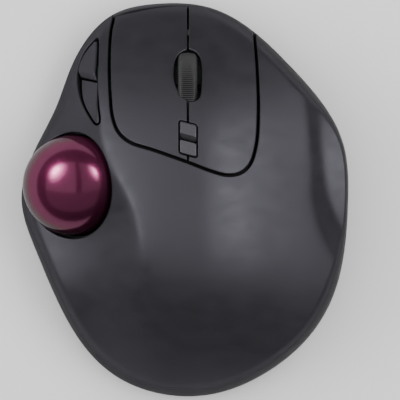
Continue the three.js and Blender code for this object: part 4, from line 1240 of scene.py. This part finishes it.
def receiver():
    cap = panel(
        FlatSurface(1, -1), [resampled(slot_loop(*PLUG, 12.4, 4.8, 1.3, 8), 0.4)],
        spacing=1.0, edge=0.6, depth=7,
    )
    dress(cap.piece("receiver_cap_rounded"), "receiver_cap")

    shell = Solid()
    for facing in (1, -1):
        face = UprightSurface(PLUG[1] + facing * 2.25, facing)
        outer = slot_loop(PLUG[0], 14, 11.6, 12, 0.2, 3)
        windows = [slot_loop(PLUG[0] + dx, 15.6, 2.2, 2.4, 0.3, 4)[::-1] for dx in (-2.9, 2.9)]
        loops = [resampled(loop, 0.4) for loop in (outer, *windows)]
        panel(face, loops, spacing=1.2, edge=0.06, depth=0.35, solid=shell)
        x = PLUG[0] + facing * 5.825
        shell.block((x - 0.175, -13.95, 8), (x + 0.175, -10.05, 20))
    shell.block((25.4, -14, 8), (36.6, -10, 8.9))
    dress(shell.piece("receiver_plug_shell"), "receiver_plug")

    tongue = panel(
        UprightSurface(-11.9, -1), [resampled(slot_loop(PLUG[0], 14.2, 10.8, 10.4, 0.3, 4), 0.5)],
        spacing=1.5, edge=0.15, depth=1.6,
    )
    dress(tongue.piece("receiver_tongue_block"), "receiver_tongue")
    pads = Solid()
    for index in range(4):
        x = PLUG[0] + (index - 1.5) * 2.4
        pads.block((x - 0.5, -11.96, 11), (x + 0.5, -11.88, 19))
    contacts = pads.piece("receiver_contacts")
    contacts.data.materials.append(GOLD)
    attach(contacts, "receiver")


def battery():
    profile = [
        (0.0, -24.5), (4.4, -24.5), (4.9, -24.3), (5.6, -24.3), (6.5, -24.5), (6.9, -24.35), (7.1, -24.0),
        (7.1, 23.6), (6.95, 24.0), (6.5, 24.2), (6.0, 23.8), (3.0, 23.8), (2.8, 24.0), (2.7, 25.2),
        (2.5, 25.45), (0.0, 25.5),
    ]
    solid = Solid().turned(profile, BATTERY, (1, 0, 0), 72)
    dress(solid.piece("battery_cell_wrapped", 35), "battery_cell")

    coil = Solid()
    count = 150
    t = np.linspace(0, 1, count)
    turn = t * 2 * math.pi * 3.5
    radius = 3.9 - 1.5 * t
    line = np.column_stack([-20.35 + 1.45 * t, polar(radius, turn) + BATTERY[1:]])
    way = np.gradient(line, axis=0)
    way /= np.linalg.norm(way, axis=1, keepdims=True)
    side = np.cross(way, [1.0, 0, 0])
    side /= np.linalg.norm(side, axis=1, keepdims=True)
    up = np.cross(side, way)
    around = turns(10)
    rings = [
        line[i] + 0.25 * (np.outer(np.cos(around), side[i]) + np.outer(np.sin(around), up[i]))
        for i in range(count)
    ]
    coil.rings(rings[::-1])
    coil.turned([(0.0, 0.0), (4.3, 0.0), (4.3, 0.3), (0.0, 0.3)], (-20.6, *BATTERY[1:]), (1, 0, 0), 40)
    dress(coil.piece("battery_spring_coil"), "battery_spring_contact")


battery_cover()
for name, place in {
    "front_foot": (-2, 54.5, 26, 6), "rear_foot": (4, -55, 26, 6), "thumb_foot": (-32, 36.5, 6, 12),
    "left_foot": (-38, -22, 7, 14), "right_foot": (43, -6, 6, 16),
}.items():
    foot(name, *place)
label()
power_knob()
for index, (x, y) in enumerate(SCREWS, 1):
    case_screw(index, x, y)
receiver()
battery()

# ------------ everything else keeps its CAD mesh

for node, obj in frame["nodes"].items():
    if not obj.hide_render:
        obj.data.materials.clear()
        obj.data.materials.append(BY_SLOT[SLOT_OF[node]])
        obj.data.polygons.foreach_set("use_smooth", np.ones(len(obj.data.polygons), bool))
        obj.data.set_sharp_from_angle(angle=math.radians(35))

# ------------ floor, light and camera

bpy.ops.mesh.primitive_plane_add(size=6, location=(0, 0, 0))
floor = bpy.context.object
floor.name = "floor"
paper = Nodes("paper_white").set(Specular_IOR_Level=0.2)
paper.colour(paper.noise(3, 3), (0.93, 0.93, 0.93), (0.95, 0.95, 0.95))
paper.rough(paper.noise(6, 2), 0.8, 0.9)
floor.data.materials.append(paper.material)

world = bpy.data.worlds.new("studio")
bpy.context.scene.world = world
world.use_nodes = True
background = world.node_tree.nodes["Background"].inputs
background["Color"].default_value = (1, 1, 1, 1)
background["Strength"].default_value = 0.1

PANEL_HEIGHT = 0.9

# The ball has lights of its own: the other panels don't light it, and its lights light nothing else.
ball_alone = bpy.data.collections.new("ball_alone")
all_but_ball = bpy.data.collections.new("all_but_ball")
for group in (ball_alone, all_but_ball):
    group.objects.link(BALL_PIECE)
all_but_ball.collection_objects[0].light_linking.link_state = "EXCLUDE"


def soft_panel(name, low, high, radiance, lit, shape="RECTANGLE", drop=0):
    """A level overhead light between two plan corners, in metres, and the group that it lights."""
    light = bpy.data.lights.new(name, "AREA")
    light.shape = shape
    light.size = high[0] - low[0]
    light.size_y = high[1] - low[1]
    light.energy = radiance * math.pi * light.size * light.size_y
    obj = bpy.data.objects.new(name, light)
    bpy.context.scene.collection.objects.link(obj)
    obj.location = ((low[0] + high[0]) / 2, (low[1] + high[1]) / 2, PANEL_HEIGHT - drop)
    obj.light_linking.receiver_collection = lit


for name, low, high, radiance, lit in (
    ("left_panel", (-1.1, -0.42), (0.16, 1.3), 1.35, all_but_ball),
    ("right_panel", (0.33, -0.42), (1.0, 1.0), 4.4, all_but_ball),
    ("far_left_panel", (-1.7, -0.6), (-1.1, 1.1), 7.5, all_but_ball),
    ("rear_panel", (-0.9, -0.8), (0.45, -0.42), 1.0, all_but_ball),
    ("right_rear_panel", (0.45, -0.75), (1.0, -0.42), 2.4, all_but_ball),
    ("ball_left_panel", (-1.8, -0.26), (0.1, 1.3), 1.0, ball_alone),
    ("ball_right_panel", (0.3, -0.26), (2.2, 1.3), 0.7, ball_alone),
    ("ball_rear_panel", (-2, -1.8), (2, -0.26), 0.35, ball_alone),
):
    soft_panel(name, low, high, radiance, lit)
for spread, radiance, drop in (0.6, 3, 0.02), (0.42, 9, 0.04), (0.24, 27, 0.06):
    for side, x, y, share in ("left", -0.85, 0.72, 1), ("right", 1.35, 0.85, 0.7):
        low, high = (x - spread, y - spread), (x + spread, y + spread)
        soft_panel(f"ball_{side}_lamp", low, high, radiance * share, ball_alone, "DISK", drop)

CAMERA_X = 0.0052
CAMERA_HEIGHT = 3.0
SENSOR = 36
IN_VIEW = 0.136
camera = bpy.data.objects.new("camera", bpy.data.cameras.new("camera"))
bpy.context.scene.collection.objects.link(camera)
camera.location = (CAMERA_X, 0.0, CAMERA_HEIGHT)
camera.data.sensor_width = SENSOR
camera.data.lens = SENSOR * (CAMERA_HEIGHT - BALL[2] * MM) / IN_VIEW
camera.data.clip_start = 0.1
camera.data.clip_end = 20
bpy.context.scene.camera = camera
